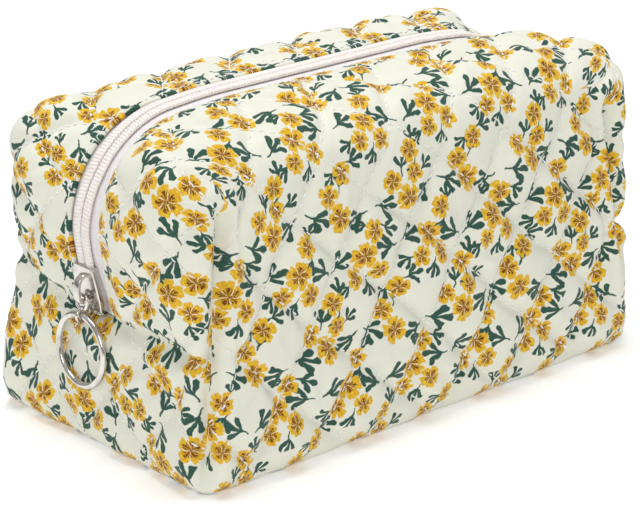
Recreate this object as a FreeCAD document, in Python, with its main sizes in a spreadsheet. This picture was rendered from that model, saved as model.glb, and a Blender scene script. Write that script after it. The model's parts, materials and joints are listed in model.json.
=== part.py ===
import FreeCAD, Part
import math
import os

import Sketcher
from FreeCAD import Placement, Rotation, Vector

# A quilted cotton makeup bag: a boxy pouch with a coil zip that runs over the top and part of
# the way down both ends.
#
# Frame: +Z up, origin at the middle of the flat base. X runs along the bag, and -X is the end
# where the closed zip's slider rests. -Y is the front wall. Millimetres throughout.
#
# The quilted wall is three layers: printed outer cotton, wadding and lining. It is divided at
# the height of the end seams into a base and two mouth halves, because each half folds outwards
# about a line in its own wall once the zip is open.

DIMENSIONS = [
    ("bag_length", 190.0, "outside length along X"),
    ("bag_height", 100.0, "outside height"),
    ("depth_base", 105.0, "outside depth at the base"),
    ("depth_top", 88.0, "outside depth that the long walls lean in to at the top"),
    ("waist_inset", 3.8, "how far the end seam pulls each end in"),
    ("upper_lean", 8.0, "degrees that an end leans out above its seam"),
    ("lower_lean", 6.5, "degrees that an end leans out below its seam"),
    ("end_round", 30.0, "rounding where the top turns down into an end"),
    ("wall_round", 20.0, "rounding where the top turns down into a long wall"),
    ("base_round", 7.0, "rounding round the base"),
    ("seam_height", 43.0, "height of the horizontal seam in each end"),
    ("mouth_gap", 0.3, "gap that lets a mouth half fold away from the base"),
    ("fabric_thick", 0.6, "outer cotton"),
    ("wadding_thick", 2.4, "wadding"),
    ("lining_thick", 0.5, "lining"),
    ("zip_side", 5.0, "zip centre line, towards the rear of the bag's own"),
    ("slot_front", 9.0, "zip centre line to the front fabric edge"),
    ("slot_rear", 7.2, "zip centre line to the rear fabric edge"),
    ("slot_lining", 9.5, "zip centre line to either lining edge"),
    ("tape_thick", 0.6, "zip tape"),
    ("tape_inner", 1.7, "zip centre line to a tape's inner edge"),
    ("tape_outer", 14.5, "zip centre line to a tape's outer edge"),
    ("coil_thick", 1.9, "coil, standing on the tape's outer face"),
    ("coil_inner", 0.1, "zip centre line to a closed coil's inner side"),
    ("coil_wide", 3.4, "width of one coil"),
    ("coil_part", 1.6, "how far the slider's post has parted each coil"),
    ("thread_thick", 0.3, "stitching standing on the fabric"),
    ("thread_inset", 1.6, "fabric edge to the stitching that holds the zip"),
    ("thread_wide", 0.5, "width of the stitching"),
    ("binding_thick", 1.2, "bound seam allowance inside the bag"),
    ("binding_wide", 8.0, "width of a bound seam allowance"),
    ("binding_clear", 12.0, "distance that bindings keep from the bag's edges"),
    ("slider_foot", 0.8, "end seam to the slider's lower end"),
    ("slider_top", 16.3, "end seam to the slider's upper end"),
    ("shoulder_rise", 5.0, "end seam to the slider's shoulders"),
    ("tail_half", 4.7, "half width of the slider's tail"),
    ("shoulder_half", 6.5, "half width of the slider's shoulders"),
    ("foot_half", 6.1, "half width of the slider's lower end"),
    ("wing_round", 1.4, "rounded corners of the slider's wings"),
    ("wing_thick", 1.3, "slider wing"),
    ("wing_clear", 0.2, "play between the coil or tape and a wing"),
    ("flange_thick", 0.8, "slider side flange"),
    ("flange_gap", 0.4, "play between a flange and the tape"),
    ("post_foot", 1.4, "end seam to the foot of the diamond post"),
    ("post_top", 7.0, "end seam to the top of the diamond post"),
    ("post_half", 1.3, "half width of the diamond post"),
    ("post_clear", 0.8, "top of the post to where the coils meet"),
    ("bridge_foot", 4.0, "end seam to the slider bridge"),
    ("bridge_long", 10.0, "slider bridge along the slider"),
    ("bridge_wide", 2.6, "slider bridge across the slider"),
    ("bridge_high", 4.1, "slider bridge above the wing"),
    ("bridge_bar", 1.3, "thickness of the bridge"),
    ("bridge_slope", 1.1, "how far the bridge's legs lean"),
    ("link_wire", 1.1, "wire of the pull's link"),
    ("link_wide", 4.8, "link's upper loop between wire centres, across"),
    ("link_high", 4.4, "link's upper loop between wire centres, along"),
    ("link_bend", 1.1, "bend in the link's upper loop, to its wire's centre"),
    ("link_tilt", 6.0, "degrees that the link hangs out from the vertical"),
    ("eye_radius", 1.9, "link's lower eye, to its wire's centre"),
    ("ring_radius", 11.3, "pull ring, to its wire's centre"),
    ("ring_wire", 2.2, "wire of the pull ring"),
    ("ring_tilt", 3.0, "degrees that the ring hangs out from the vertical"),
]

doc = FreeCAD.newDocument("makeup_bag")
sheet = doc.addObject("Spreadsheet::Sheet", "dims")
for row, (alias, number, note) in enumerate(DIMENSIONS, start=1):
    sheet.set(f"A{row}", alias)
    sheet.set(f"B{row}", str(number))
    sheet.set(f"C{row}", note)
    sheet.setAlias(f"B{row}", alias)
doc.recompute()

nodes = []

# Depths below the bag's outside surface, as expressions on the sheet
SURFACE = "0"
UNDER_FABRIC = "dims.fabric_thick"
UNDER_WADDING = "(dims.fabric_thick + dims.wadding_thick)"
UNDER_LINING = "(dims.fabric_thick + dims.wadding_thick + dims.lining_thick)"
UNDER_BINDING = f"({UNDER_LINING} + dims.binding_thick)"
THREAD_FACE = "(0 - dims.thread_thick)"
TAPE_FACE = f"({UNDER_WADDING} - dims.tape_thick)"
COIL_FACE = f"({TAPE_FACE} - dims.coil_thick)"

# Angles of the bag's sides
WALL_LEAN = "atan((dims.depth_base - dims.depth_top) / 2 / dims.bag_height)"
UPPER_LEAN = "dims.upper_lean * 1 deg"
LOWER_LEAN = "dims.lower_lean * 1 deg"
WAIST = "(dims.bag_length / 2 - dims.waist_inset)"
MOUTH_FOOT = "(dims.seam_height + dims.mouth_gap)"
LEVEL = None


def value(expression):
    """The number that an expression on the sheet gives."""
    result = sheet.evalExpression(expression)
    return float(getattr(result, "Value", result))


def bind(obj, **expressions):
    """Drives an object's properties from the sheet. Two underscores stand for a dot."""
    for name, expression in expressions.items():
        obj.setExpression(name.replace("__", "."), expression)


def node(obj, label):
    """Makes an object one of the named sub-parts."""
    obj.Label = label
    nodes.append(obj)
    return obj


# ---- Sketches and features


def add_sketch(body, name, role, offset="0"):
    """A sketch on one of the body's own origin planes, moved along the plane's normal."""
    sketch = body.newObject("Sketcher::SketchObject", name)
    plane = next(feature for feature in body.Origin.OriginFeatures if feature.Role == role)
    sketch.AttachmentSupport = [(plane, "")]
    sketch.MapMode = "FlatFace"
    bind(sketch, AttachmentOffset__Base__z=offset)
    return sketch


def measure(sketch, name, expression, *constraint):
    """Adds a dimensional constraint that is driven from the sheet."""
    number = value(expression)
    if constraint[0] == "Angle":
        number = math.radians(number)
    index = sketch.addConstraint(Sketcher.Constraint(*constraint, number))
    sketch.renameConstraint(index, name)
    sketch.setExpression("Constraints." + name, expression)


def polygon(sketch, corners):
    """A closed polygon whose corners are pairs of expressions."""
    count = len(corners)
    points = [Vector(value(across), value(up), 0) for across, up in corners]
    for k in range(count):
        sketch.addGeometry(Part.LineSegment(points[k], points[(k + 1) % count]), False)
    for k, (across, up) in enumerate(corners):
        sketch.addConstraint(Sketcher.Constraint("Coincident", k - 1 if k else count - 1, 2, k, 1))
        measure(sketch, f"across{k}", across, "DistanceX", -1, 1, k, 1)
        measure(sketch, f"up{k}", up, "DistanceY", -1, 1, k, 1)


def circle(sketch, across, up, radius):
    centre = Vector(value(across), value(up), 0)
    sketch.addGeometry(Part.Circle(centre, Vector(0, 0, 1), value(radius)), False)
    measure(sketch, "across", across, "DistanceX", -1, 1, 0, 3)
    measure(sketch, "up", up, "DistanceY", -1, 1, 0, 3)
    measure(sketch, "radius", radius, "Radius", 0)


def meeting(first, second):
    """Where two lines meet, each given by its outward normal's angle and its distance."""
    (a, p), (b, q) = first, second
    scale = math.sin(b - a)
    x = (p * math.sin(b) - q * math.sin(a)) / scale
    y = (q * math.cos(a) - p * math.cos(b)) / scale
    return Vector(x, y, 0)


def rounded_outline(sketch, sides):
    """A closed outline of straight sides, counterclockwise, with tangent arcs at its corners.

    A side is (outward normal's angle or LEVEL, distance from the origin or height, radius of
    the corner where the side starts or None for a sharp corner)."""
    count = len(sides)
    middle = count // 2
    lines = []
    for k, (angle, distance, _) in enumerate(sides):
        if angle is LEVEL and k < middle:
            lines.append((math.radians(-90), -value(distance)))
        elif angle is LEVEL:
            lines.append((math.radians(90), value(distance)))
        else:
            lines.append((math.radians(value(angle)), value(distance)))
    points = [meeting(lines[k - 1], lines[k]) for k in range(count)]
    cuts = []
    for k in range(count):
        radius = value(sides[k][2]) if sides[k][2] else 0
        back = (points[k - 1] - points[k]).normalize()
        ahead = (points[(k + 1) % count] - points[k]).normalize()
        half = back.getAngle(ahead) / 2
        reach = radius / math.tan(half)
        centre = points[k] + (back + ahead).normalize() * (radius / math.sin(half))
        cuts.append((points[k] + back * reach, points[k] + ahead * reach, centre, radius))
    for k in range(count):
        sketch.addGeometry(Part.LineSegment(cuts[k][1], cuts[(k + 1) % count][0]), False)
    for k, (enter, leave, centre, radius) in enumerate(cuts):
        before = k - 1 if k else count - 1
        if not radius:
            sketch.addConstraint(Sketcher.Constraint("Coincident", before, 2, k, 1))
            continue
        begin = math.atan2(enter.y - centre.y, enter.x - centre.x)
        end = math.atan2(leave.y - centre.y, leave.x - centre.x)
        turn = (end - begin) % (2 * math.pi)
        round_corner = Part.Circle(centre, Vector(0, 0, 1), radius)
        arc = sketch.addGeometry(Part.ArcOfCircle(round_corner, begin, begin + turn), False)
        sketch.addConstraint(Sketcher.Constraint("Tangent", before, 2, arc, 1))
        sketch.addConstraint(Sketcher.Constraint("Tangent", arc, 2, k, 1))
        measure(sketch, f"radius{k}", sides[k][2], "Radius", arc)
    for k, (angle, distance, _) in enumerate(sides):
        if angle is LEVEL:
            sketch.addConstraint(Sketcher.Constraint("Horizontal", k))
            measure(sketch, f"height{k}", distance, "DistanceY", -1, 1, k, 1)
        else:
            measure(sketch, f"angle{k}", f"90 deg + {angle}", "Angle", k)
            measure(sketch, f"away{k}", distance, "Distance", -1, 1, k)


def pad(body, sketch, length, midplane=False, reverse=False):
    feature = body.newObject("PartDesign::Pad", sketch.Name + "_pad")
    feature.Profile = sketch
    feature.Midplane = midplane
    feature.Reversed = reverse
    bind(feature, Length=length)
    body.Tip = feature
    return feature


def soften(body, radius, chosen):
    """Fillets the edges of the body that the test chooses."""
    doc.recompute()
    base = body.Tip
    names = [f"Edge{k}" for k, edge in enumerate(base.Shape.Edges, start=1) if chosen(edge)]
    feature = body.newObject("PartDesign::Fillet", base.Name + "_round")
    feature.Base = (base, names)
    bind(feature, Radius=radius)
    body.Tip = feature
    return feature


def runs_along(axis):
    """Chooses straight edges that are parallel to an axis."""

    def chosen(edge):
        if edge.Curve.TypeId != "Part::GeomLine":
            return False
        return abs(edge.Curve.Direction.dot(axis)) > 0.999

    return chosen


def boolean(kind, name, base, tool):
    made = doc.addObject("Part::" + kind, name)
    made.Base = base
    made.Tool = tool
    return made


def box(name, x, y, z):
    """A box between pairs of expressions along X, Y and Z."""
    made = doc.addObject("Part::Box", name)
    bind(
        made,
        Length=f"({x[1]}) - ({x[0]})",
        Width=f"({y[1]}) - ({y[0]})",
        Height=f"({z[1]}) - ({z[0]})",
        Placement__Base__x=x[0],
        Placement__Base__y=y[0],
        Placement__Base__z=z[0],
    )
    return made


# ---- The bag's outside form at any depth below its surface


def end_sides(depth):
    """The bag seen from the front: ends that pull in to a waist at their seams."""
    upper = f"({WAIST} * cos({UPPER_LEAN}) - dims.seam_height * sin({UPPER_LEAN}) - {depth})"
    lower = f"({WAIST} * cos({LOWER_LEAN}) + dims.seam_height * sin({LOWER_LEAN}) - {depth})"
    base_corner = f"dims.base_round - {depth}"
    top_corner = f"dims.end_round - {depth}"
    return [
        (LEVEL, depth, base_corner),
        (LOWER_LEAN, lower, base_corner),
        (f"0 deg - {UPPER_LEAN}", upper, None),
        (LEVEL, f"dims.bag_height - {depth}", top_corner),
        (f"180 deg + {UPPER_LEAN}", upper, top_corner),
        (f"180 deg - {LOWER_LEAN}", lower, None),
    ]


def wall_sides(depth):
    """The bag seen from an end: a flat base and walls that lean in to a rounded top."""
    away = f"(dims.depth_base / 2 * cos({WALL_LEAN}) - {depth})"
    base_corner = f"dims.base_round - {depth}"
    top_corner = f"dims.wall_round - {depth}"
    return [
        (LEVEL, depth, base_corner),
        (WALL_LEAN, away, base_corner),
        (LEVEL, f"dims.bag_height - {depth}", top_corner),
        (f"180 deg - {WALL_LEAN}", away, top_corner),
    ]


def extruded(name, role, sides, length):
    body = doc.addObject("PartDesign::Body", name)
    sketch = add_sketch(body, name + "_outline", role)
    rounded_outline(sketch, sides)
    pad(body, sketch, length, midplane=True)
    return body


blanks = {}


def blank(depth):
    """The bag's whole solid form, its surface this deep below the outside."""
    if depth not in blanks:
        name = f"blank{len(blanks)}"
        along = extruded(name + "_along", "XZ_Plane", end_sides(depth), "dims.depth_base + 20")
        across = extruded(name + "_across", "YZ_Plane", wall_sides(depth), "dims.bag_length + 20")
        blanks[depth] = boolean("Common", name, along, across)
    return blanks[depth]


shells = {}


def shell(outer, inner):
    """A closed skin of the bag's form between two depths."""
    if (outer, inner) not in shells:
        name = f"shell{len(shells)}"
        shells[outer, inner] = boolean("Cut", name, blank(outer), blank(inner))
    return shells[outer, inner]


FAR = "dims.bag_length"
EVERYWHERE = ("0 - " + FAR, FAR)


def region(label, x, y, z, outer, inner):
    """The part of a skin that lies inside a box."""
    return boolean("Common", label, shell(outer, inner), box(label + "_box", x, y, z))


def zip_band(side, near, far):
    """Y limits of a band beside the zip. The side is front or rear."""
    if side == "front":
        return (f"dims.zip_side - ({far})", f"dims.zip_side - ({near})")
    return (f"dims.zip_side + ({near})", f"dims.zip_side + ({far})")


def make_base():
    """The lower half of each layer, up to the end seams."""
    low = ("0 - 10", "dims.seam_height")
    layers = [
        ("outer_shell_base", SURFACE, UNDER_FABRIC),
        ("wadding_base", UNDER_FABRIC, UNDER_WADDING),
        ("lining_base", UNDER_WADDING, UNDER_LINING),
    ]
    for label, outer, inner in layers:
        node(region(label, EVERYWHERE, EVERYWHERE, low, outer, inner), label)


def make_tape(side):
    label = f"zip_tape_{side}"
    band = zip_band(side, "dims.tape_inner", "dims.tape_outer")
    high = (MOUTH_FOOT, FAR)
    return node(region(label, EVERYWHERE, band, high, TAPE_FACE, UNDER_WADDING), label)


def make_coil(side):
    """A coil, closed all the way except where the slider's post parts it."""
    label = f"zip_coil_{side}"
    parted = f"dims.seam_height + (dims.post_top + dims.post_clear) * cos({UPPER_LEAN})"
    closed = zip_band(side, "dims.coil_inner", "dims.coil_inner + dims.coil_wide")
    open_band = zip_band(
        side, "dims.coil_inner + dims.coil_part", "dims.coil_inner + dims.coil_part + dims.coil_wide"
    )
    above = box(label + "_above", EVERYWHERE, closed, (parted, FAR))
    right = box(label + "_right", ("0", FAR), closed, (MOUTH_FOOT, FAR))
    left = box(label + "_left", ("0 - " + FAR, "0"), open_band, (MOUTH_FOOT, parted))
    bands = doc.addObject("Part::MultiFuse", label + "_bands")
    bands.Shapes = [above, right, left]
    return node(boolean("Common", label, shell(COIL_FACE, TAPE_FACE), bands), label)


def make_mouth(side):
    """One upper half: its three layers, tape, coil and stitching."""
    high = (MOUTH_FOOT, FAR)
    tape = make_tape(side)
    make_coil(side)
    edge = f"dims.slot_{side}"
    cloth = zip_band(side, edge, FAR)
    label = f"outer_shell_{side}"
    node(region(label, EVERYWHERE, cloth, high, SURFACE, UNDER_FABRIC), label)
    label = f"wadding_{side}"
    whole = region(label + "_whole", EVERYWHERE, cloth, high, UNDER_FABRIC, UNDER_WADDING)
    node(boolean("Cut", label, whole, tape), label)
    label = f"lining_{side}"
    lined = zip_band(side, "dims.slot_lining", FAR)
    node(region(label, EVERYWHERE, lined, high, UNDER_WADDING, UNDER_LINING), label)
    label = f"zip_stitching_{side}"
    near = f"{edge} + dims.thread_inset"
    thread = zip_band(side, near, f"{near} + dims.thread_wide")
    node(region(label, EVERYWHERE, thread, high, THREAD_FACE, SURFACE), label)


def mirrored(side, near, far):
    """Limits of a band at one side of the bag's own centre, negative for left and front."""
    if side in ("left", "front"):
        return (f"0 - ({far})", f"0 - ({near})")
    return (near, far)


def make_bindings():
    """Bound seam allowances: one across each end seam, and one in each upright corner."""
    seam_half = "dims.depth_top / 2 - dims.binding_clear"
    below_seam = ("dims.seam_height - dims.binding_wide", "dims.seam_height")
    for end in ("left", "right"):
        label = f"end_seam_binding_{end}"
        outwards = mirrored(end, "dims.bag_length / 4", FAR)
        across = (f"0 - ({seam_half})", seam_half)
        node(region(label, outwards, across, below_seam, UNDER_LINING, UNDER_BINDING), label)
        strip = mirrored(end, f"{WAIST} - dims.binding_clear - dims.binding_wide",
                         f"{WAIST} - dims.binding_clear")
        for side in ("front", "rear"):
            outer = mirrored(side, "dims.depth_top / 4", FAR)
            label = f"lower_corner_binding_{side}_{end}"
            lower = ("dims.binding_clear", "dims.seam_height - 1")
            node(region(label, strip, outer, lower, UNDER_LINING, UNDER_BINDING), label)
            label = f"upper_corner_binding_{side}_{end}"
            upper = (f"{MOUTH_FOOT} + 1", "dims.bag_height - dims.end_round")
            node(region(label, strip, outer, upper, UNDER_LINING, UNDER_BINDING), label)


# ---- The slider and its pull, drawn about the zip's foot: -X is out of the face, +Z up the zip


def zip_foot():
    """Where the zip meets the end seam on the outside surface, turned to follow the zip."""
    place = Vector(-value(WAIST), value("dims.zip_side"), value("dims.seam_height"))
    return Placement(place, Rotation(Vector(0, 1, 0), -value("dims.upper_lean")))


def half_width(profile):
    """A closed outline from one side's corners, given from the foot up."""
    right = [(half, up) for half, up in profile]
    left = [(f"0 - ({half})", up) for half, up in reversed(profile)]
    return right + left


def make_slider():
    """Two wings joined by the diamond post, with side flanges and a bridge for the pull."""
    body = doc.addObject("PartDesign::Body", "slider_body")
    outline = [
        ("dims.foot_half", "dims.slider_foot"),
        ("dims.shoulder_half", "dims.shoulder_rise"),
        ("dims.tail_half", "dims.slider_top"),
    ]
    inside = f"({COIL_FACE} - dims.wing_clear)"
    outside = f"({inside} - dims.wing_thick)"
    behind = f"({UNDER_WADDING} + dims.wing_clear)"
    wing = add_sketch(body, "wing", "YZ_Plane", outside)
    polygon(wing, half_width(outline))
    deep = f"{TAPE_FACE} - dims.flange_gap - {outside}"
    pad(body, wing, deep)
    soften(body, "dims.wing_round", runs_along(Vector(1, 0, 0)))

    channel = add_sketch(body, "channel", "YZ_Plane", f"{TAPE_FACE} - dims.flange_gap")
    ends = [
        ("dims.foot_half - dims.flange_thick", "0"),
        ("dims.foot_half - dims.flange_thick", "dims.slider_foot"),
        ("dims.shoulder_half - dims.flange_thick", "dims.shoulder_rise"),
        ("dims.tail_half - dims.flange_thick", "dims.slider_top"),
        ("dims.tail_half - dims.flange_thick", "dims.slider_top + 1"),
    ]
    polygon(channel, half_width(ends))
    groove = body.newObject("PartDesign::Pocket", "channel_pocket")
    groove.Profile = channel
    bind(groove, Length=f"{TAPE_FACE} - dims.flange_gap - {inside}")
    groove.Reversed = False
    body.Tip = groove

    post = add_sketch(body, "post", "YZ_Plane", f"{inside} - dims.wing_thick / 2")
    middle = "(dims.post_foot + dims.post_top) / 2"
    polygon(
        post,
        [
            ("0", "dims.post_foot"),
            ("dims.post_half", middle),
            ("0", "dims.post_top"),
            ("0 - dims.post_half", middle),
        ],
    )
    pad(body, post, f"{behind} + dims.wing_thick / 2 - ({inside} - dims.wing_thick / 2)")

    rear_wing = add_sketch(body, "rear_wing", "YZ_Plane", behind)
    polygon(rear_wing, half_width(outline))
    pad(body, rear_wing, "dims.wing_thick")

    bridge = add_sketch(body, "bridge", "XZ_Plane")
    root = f"{outside} + dims.wing_thick / 2"
    crest = f"{outside} - dims.bridge_high"
    under = f"{crest} + dims.bridge_bar"
    top = "dims.bridge_foot + dims.bridge_long"
    polygon(
        bridge,
        [
            (root, "dims.bridge_foot"),
            (root, "dims.bridge_foot + dims.bridge_bar"),
            (under, "dims.bridge_foot + dims.bridge_bar + dims.bridge_slope"),
            (under, f"{top} - dims.bridge_bar - dims.bridge_slope"),
            (root, f"{top} - dims.bridge_bar"),
            (root, top),
            (crest, f"{top} - dims.bridge_slope"),
            (crest, "dims.bridge_foot + dims.bridge_slope"),
        ],
    )
    pad(body, bridge, "dims.bridge_wide", midplane=True)
    body.Placement = zip_foot()
    return node(body, "slider_body")


def pivot_place():
    """The link's pivot: inside the foot of the slider's bridge, half way out."""
    outside = f"({COIL_FACE} - dims.wing_clear - dims.wing_thick)"
    out = value(f"{outside} - (dims.bridge_high - dims.bridge_bar) / 2")
    up = value("dims.bridge_foot + dims.bridge_bar + dims.bridge_slope + dims.link_wire / 2 + 0.15")
    return zip_foot().multVec(Vector(out, 0, up))


EYE_DROP = "(dims.link_high + dims.eye_radius + dims.link_wire / 4)"


def make_link():
    """A loop through the bridge and, turned a quarter, the eye that holds the ring."""
    loop = doc.addObject("PartDesign::Body", "link_loop")
    path = add_sketch(loop, "loop_path", "YZ_Plane")
    bend = "dims.link_bend"
    rounded_outline(
        path,
        [
            (LEVEL, "0 - dims.link_high", bend),
            ("0 deg", "dims.link_wide / 2", bend),
            (LEVEL, "0", bend),
            ("180 deg", "dims.link_wide / 2", bend),
        ],
    )
    section = add_sketch(loop, "loop_section", "XY_Plane", "0 - dims.link_high / 2")
    circle(section, "0", "dims.link_wide / 2", "dims.link_wire / 2")
    sweep = loop.newObject("PartDesign::AdditivePipe", "loop_sweep")
    sweep.Profile = section
    sweep.Spine = path
    loop.Tip = sweep

    eye = doc.addObject("Part::Torus", "link_eye")
    eye.Placement = Placement(Vector(0, 0, 0), Rotation(Vector(1, 0, 0), 90))
    bind(
        eye,
        Radius1="dims.eye_radius",
        Radius2="dims.link_wire / 2",
        Placement__Base__z=f"0 - {EYE_DROP}",
    )
    link = boolean("Fuse", "pull_link", loop, eye)
    link.Placement = Placement(pivot_place(), Rotation(Vector(0, 1, 0), value("dims.link_tilt")))
    return node(link, "pull_link")


def make_ring():
    """A plain round ring through the link's eye."""
    tilt = Rotation(Vector(0, 1, 0), value("dims.link_tilt"))
    eye_centre = pivot_place() + tilt.multVec(Vector(0, 0, -value(EYE_DROP)))
    hang = Rotation(Vector(0, 1, 0), value("dims.ring_tilt"))
    centre = eye_centre + hang.multVec(Vector(0, 0, -value("dims.ring_radius")))
    ring = doc.addObject("Part::Torus", "pull_ring")
    bind(ring, Radius1="dims.ring_radius", Radius2="dims.ring_wire / 2")
    ring.Placement = Placement(centre, hang.multiply(Rotation(Vector(0, 1, 0), 90)))
    return node(ring, "pull_ring")


def check(obj):
    """Stops at an object that failed to compute."""
    if "Invalid" in obj.State or "Error" in obj.State:
        raise RuntimeError(f"{obj.Name} is in state {obj.State}")


make_base()
make_mouth("front")
make_mouth("rear")
make_bindings()
make_slider()
make_link()
make_ring()
doc.recompute()

for obj in doc.Objects:
    check(obj)
os.makedirs("parts", exist_ok=True)
for obj in nodes:
    shape = obj.Shape
    if shape.isNull() or not shape.isValid():
        raise RuntimeError(f"{obj.Label} has no valid shape")
    shape.exportStep(f"parts/{obj.Label}.step")
    bounds = shape.BoundBox
    print(
        f"{obj.Label:36s} {len(shape.Solids)} solid(s) {shape.Volume:11.1f} mm3"
        f"  x {bounds.XMin:7.2f}..{bounds.XMax:7.2f}"
        f"  y {bounds.YMin:7.2f}..{bounds.YMax:7.2f}"
        f"  z {bounds.ZMin:7.2f}..{bounds.ZMax:7.2f}"
    )
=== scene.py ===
import json
import math

import bmesh
import bpy
import numpy as np
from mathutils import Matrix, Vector


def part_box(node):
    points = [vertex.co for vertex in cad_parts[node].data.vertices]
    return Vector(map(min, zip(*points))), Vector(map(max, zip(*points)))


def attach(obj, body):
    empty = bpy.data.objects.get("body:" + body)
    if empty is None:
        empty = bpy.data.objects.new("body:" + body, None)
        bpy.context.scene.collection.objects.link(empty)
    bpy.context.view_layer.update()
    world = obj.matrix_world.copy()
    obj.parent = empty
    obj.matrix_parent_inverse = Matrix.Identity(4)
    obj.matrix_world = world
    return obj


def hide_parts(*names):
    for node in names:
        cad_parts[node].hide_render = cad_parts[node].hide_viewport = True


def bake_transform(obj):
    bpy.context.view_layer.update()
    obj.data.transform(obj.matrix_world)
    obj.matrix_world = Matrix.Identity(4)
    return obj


# A quilted cotton makeup bag. All shapes are worked out in millimetres in the CAD frame
# (+Z up, -X the slider's end, -Y the front wall) and turned to metres as each mesh is made.

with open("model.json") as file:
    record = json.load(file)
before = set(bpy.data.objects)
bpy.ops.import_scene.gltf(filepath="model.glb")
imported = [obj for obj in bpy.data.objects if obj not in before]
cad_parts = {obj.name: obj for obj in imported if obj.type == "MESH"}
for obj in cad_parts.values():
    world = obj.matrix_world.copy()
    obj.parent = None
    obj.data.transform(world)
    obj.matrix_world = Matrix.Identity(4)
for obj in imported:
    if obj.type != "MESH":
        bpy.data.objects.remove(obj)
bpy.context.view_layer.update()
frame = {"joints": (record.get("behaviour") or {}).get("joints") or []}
MM = 0.001


def cad(node):
    """A CAD node's lowest and highest corners, in millimetres."""
    low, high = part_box(node)
    return np.array(low) / MM, np.array(high) / MM


def frame_joint(name):
    """Where a joint turns, in millimetres."""
    joint = next(j for j in frame["joints"] if j["name"] == name)
    return np.array(joint["pos_m"]) / MM


# ---- Driving sizes: the first ones are read from the CAD model

SEAM = cad("outer_shell_base")[1][2]
HEIGHT = cad("outer_shell_front")[1][2]
SLOT_FRONT = cad("outer_shell_front")[1][1]
SLOT_REAR = cad("outer_shell_rear")[0][1]
ZIP_Y = (cad("zip_coil_front")[0][1] + cad("zip_coil_rear")[1][1]) / 2
LINING_FRONT = cad("lining_front")[1][1]
LINING_REAR = cad("lining_rear")[0][1]
TAPE_FRONT = cad("zip_tape_front")[0][1]
TAPE_REAR = cad("zip_tape_rear")[1][1]
PIVOT = frame_joint("link_swing")
EYE = frame_joint("ring_swing")

HALF_LENGTH = 95.0
HALF_DEPTH = 52.5
WALL_SLOPE = 0.075  # each long wall leans in by this much per unit of height
WAIST = 91.2  # half length at the end seams
UPPER_SLOPE = math.tan(math.radians(8.0))
LOWER_SLOPE = math.tan(math.radians(5.0))


def smooth(t):
    """Rises softly from 0 to 1 as t does."""
    t = np.clip(t, 0, 1)
    return t * t * (3 - 2 * t)


def hump(distance, width):
    """1 where the distance is 0, falling away over the width."""
    return np.exp(-((distance / width) ** 2))


def unit(vectors):
    return vectors / np.linalg.norm(vectors, axis=-1, keepdims=True)


# ---- The bag's soft outer form, as a signed distance that is 0 on the surface

LEFT_SEAM_CLIMB = 9.0  # the left end's seam is this much higher at the rear than at the zip
SEAM_TURN = 2.0  # how gently an end turns at its seam
LOWER_BULGE = 0.5  # how far an end bulges below its seam
UPPER_BULGE = 1.2  # and above it
UPPER_BULGE_TALL = 45.0
WALL_BULGE = 1.8  # how far the long walls bulge at their middle
WALL_BULGE_TALL = 95.0
WALL_END = 45.0  # the walls lose their bulge over this length towards each end
REAR_WAIST = 2.5  # how far the rear wall is drawn in beside the end seams
TOP_RAISE = 2.8  # the padding lifts the top by this much
TOP_CROWN = 3.2  # and along the zip by this much more
FOOT_RADIUS = 6.0
LOW_RADIUS = 6.5  # the upright corners near the base
TOP_RADIUS = 12.0  # the corners and edges at the top
ZIP_RADIUS = 26.0  # added to that where the zip bends over


def seam_rise(x, y):
    """How far the left end's seam climbs towards the rear."""
    return LEFT_SEAM_CLIMB * smooth((y - ZIP_Y) / (HALF_DEPTH - ZIP_Y)) * (x < 0)


def half_length(x, y, z):
    above = z - SEAM - seam_rise(x, y)
    slope = np.where(above > 0, UPPER_SLOPE, LOWER_SLOPE)
    reach = WAIST + slope * (np.sqrt(above**2 + SEAM_TURN**2) - SEAM_TURN)
    lower = LOWER_BULGE * np.sin(math.pi * np.clip(z / SEAM, 0, 1))
    upper = UPPER_BULGE * np.sin(math.pi * np.clip((z - SEAM) / UPPER_BULGE_TALL, 0, 1))
    return reach + lower + upper


def half_depth(x, y, z):
    half = HALF_DEPTH - WALL_SLOPE * z
    bulge = WALL_BULGE * np.sin(math.pi * np.clip(z / WALL_BULGE_TALL, 0, 1))
    near_end = smooth((np.abs(x) - WALL_END) / WALL_END)
    waist = REAR_WAIST * hump(z - SEAM - 6.0, 16.0) * near_end * (y > 0)
    return half + bulge * (1 - near_end) - waist


def top_height(x, y):
    crown = TOP_CROWN * hump(y - ZIP_Y, 30.0) * smooth((90.0 - np.abs(x)) / 50.0)
    return HEIGHT + TOP_RAISE + crown


def form(p):
    """Signed distance of points to the bag's surface, near enough close to it."""
    x, y, z = p[:, 0], p[:, 1], p[:, 2]
    top_radius = TOP_RADIUS + ZIP_RADIUS * hump(y - ZIP_Y, 25.0)
    radius = LOW_RADIUS + (top_radius - LOW_RADIUS) * smooth((z - 28.0) / 48.0)
    a = np.abs(x) - half_length(x, y, z)
    b = np.abs(y) - half_depth(x, y, z)
    c = z - top_height(x, y)
    corner = np.sqrt(
        np.maximum(a + radius, 0) ** 2
        + np.maximum(b + radius, 0) ** 2
        + np.maximum(c + radius, 0) ** 2
    )
    sides = corner - radius + np.minimum(np.maximum(np.maximum(a, b), c) + radius, 0)
    u = np.maximum(sides + FOOT_RADIUS, 0)
    v = np.maximum(-z + FOOT_RADIUS, 0)
    inside = np.minimum(np.maximum(sides, -z) + FOOT_RADIUS, 0)
    return inside + np.hypot(u, v) - FOOT_RADIUS


CORE_INSET = 32.0  # rays start from a core box this far inside the straight box
CORE_HIGH = np.array([HALF_LENGTH, HALF_DEPTH, HEIGHT]) - CORE_INSET
CORE_LOW = np.array([-CORE_HIGH[0], -CORE_HIGH[1], 10.0])
RAY_LENGTH = 60.0
HALVINGS = 26
SLOPE_STEP = 0.25


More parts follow.
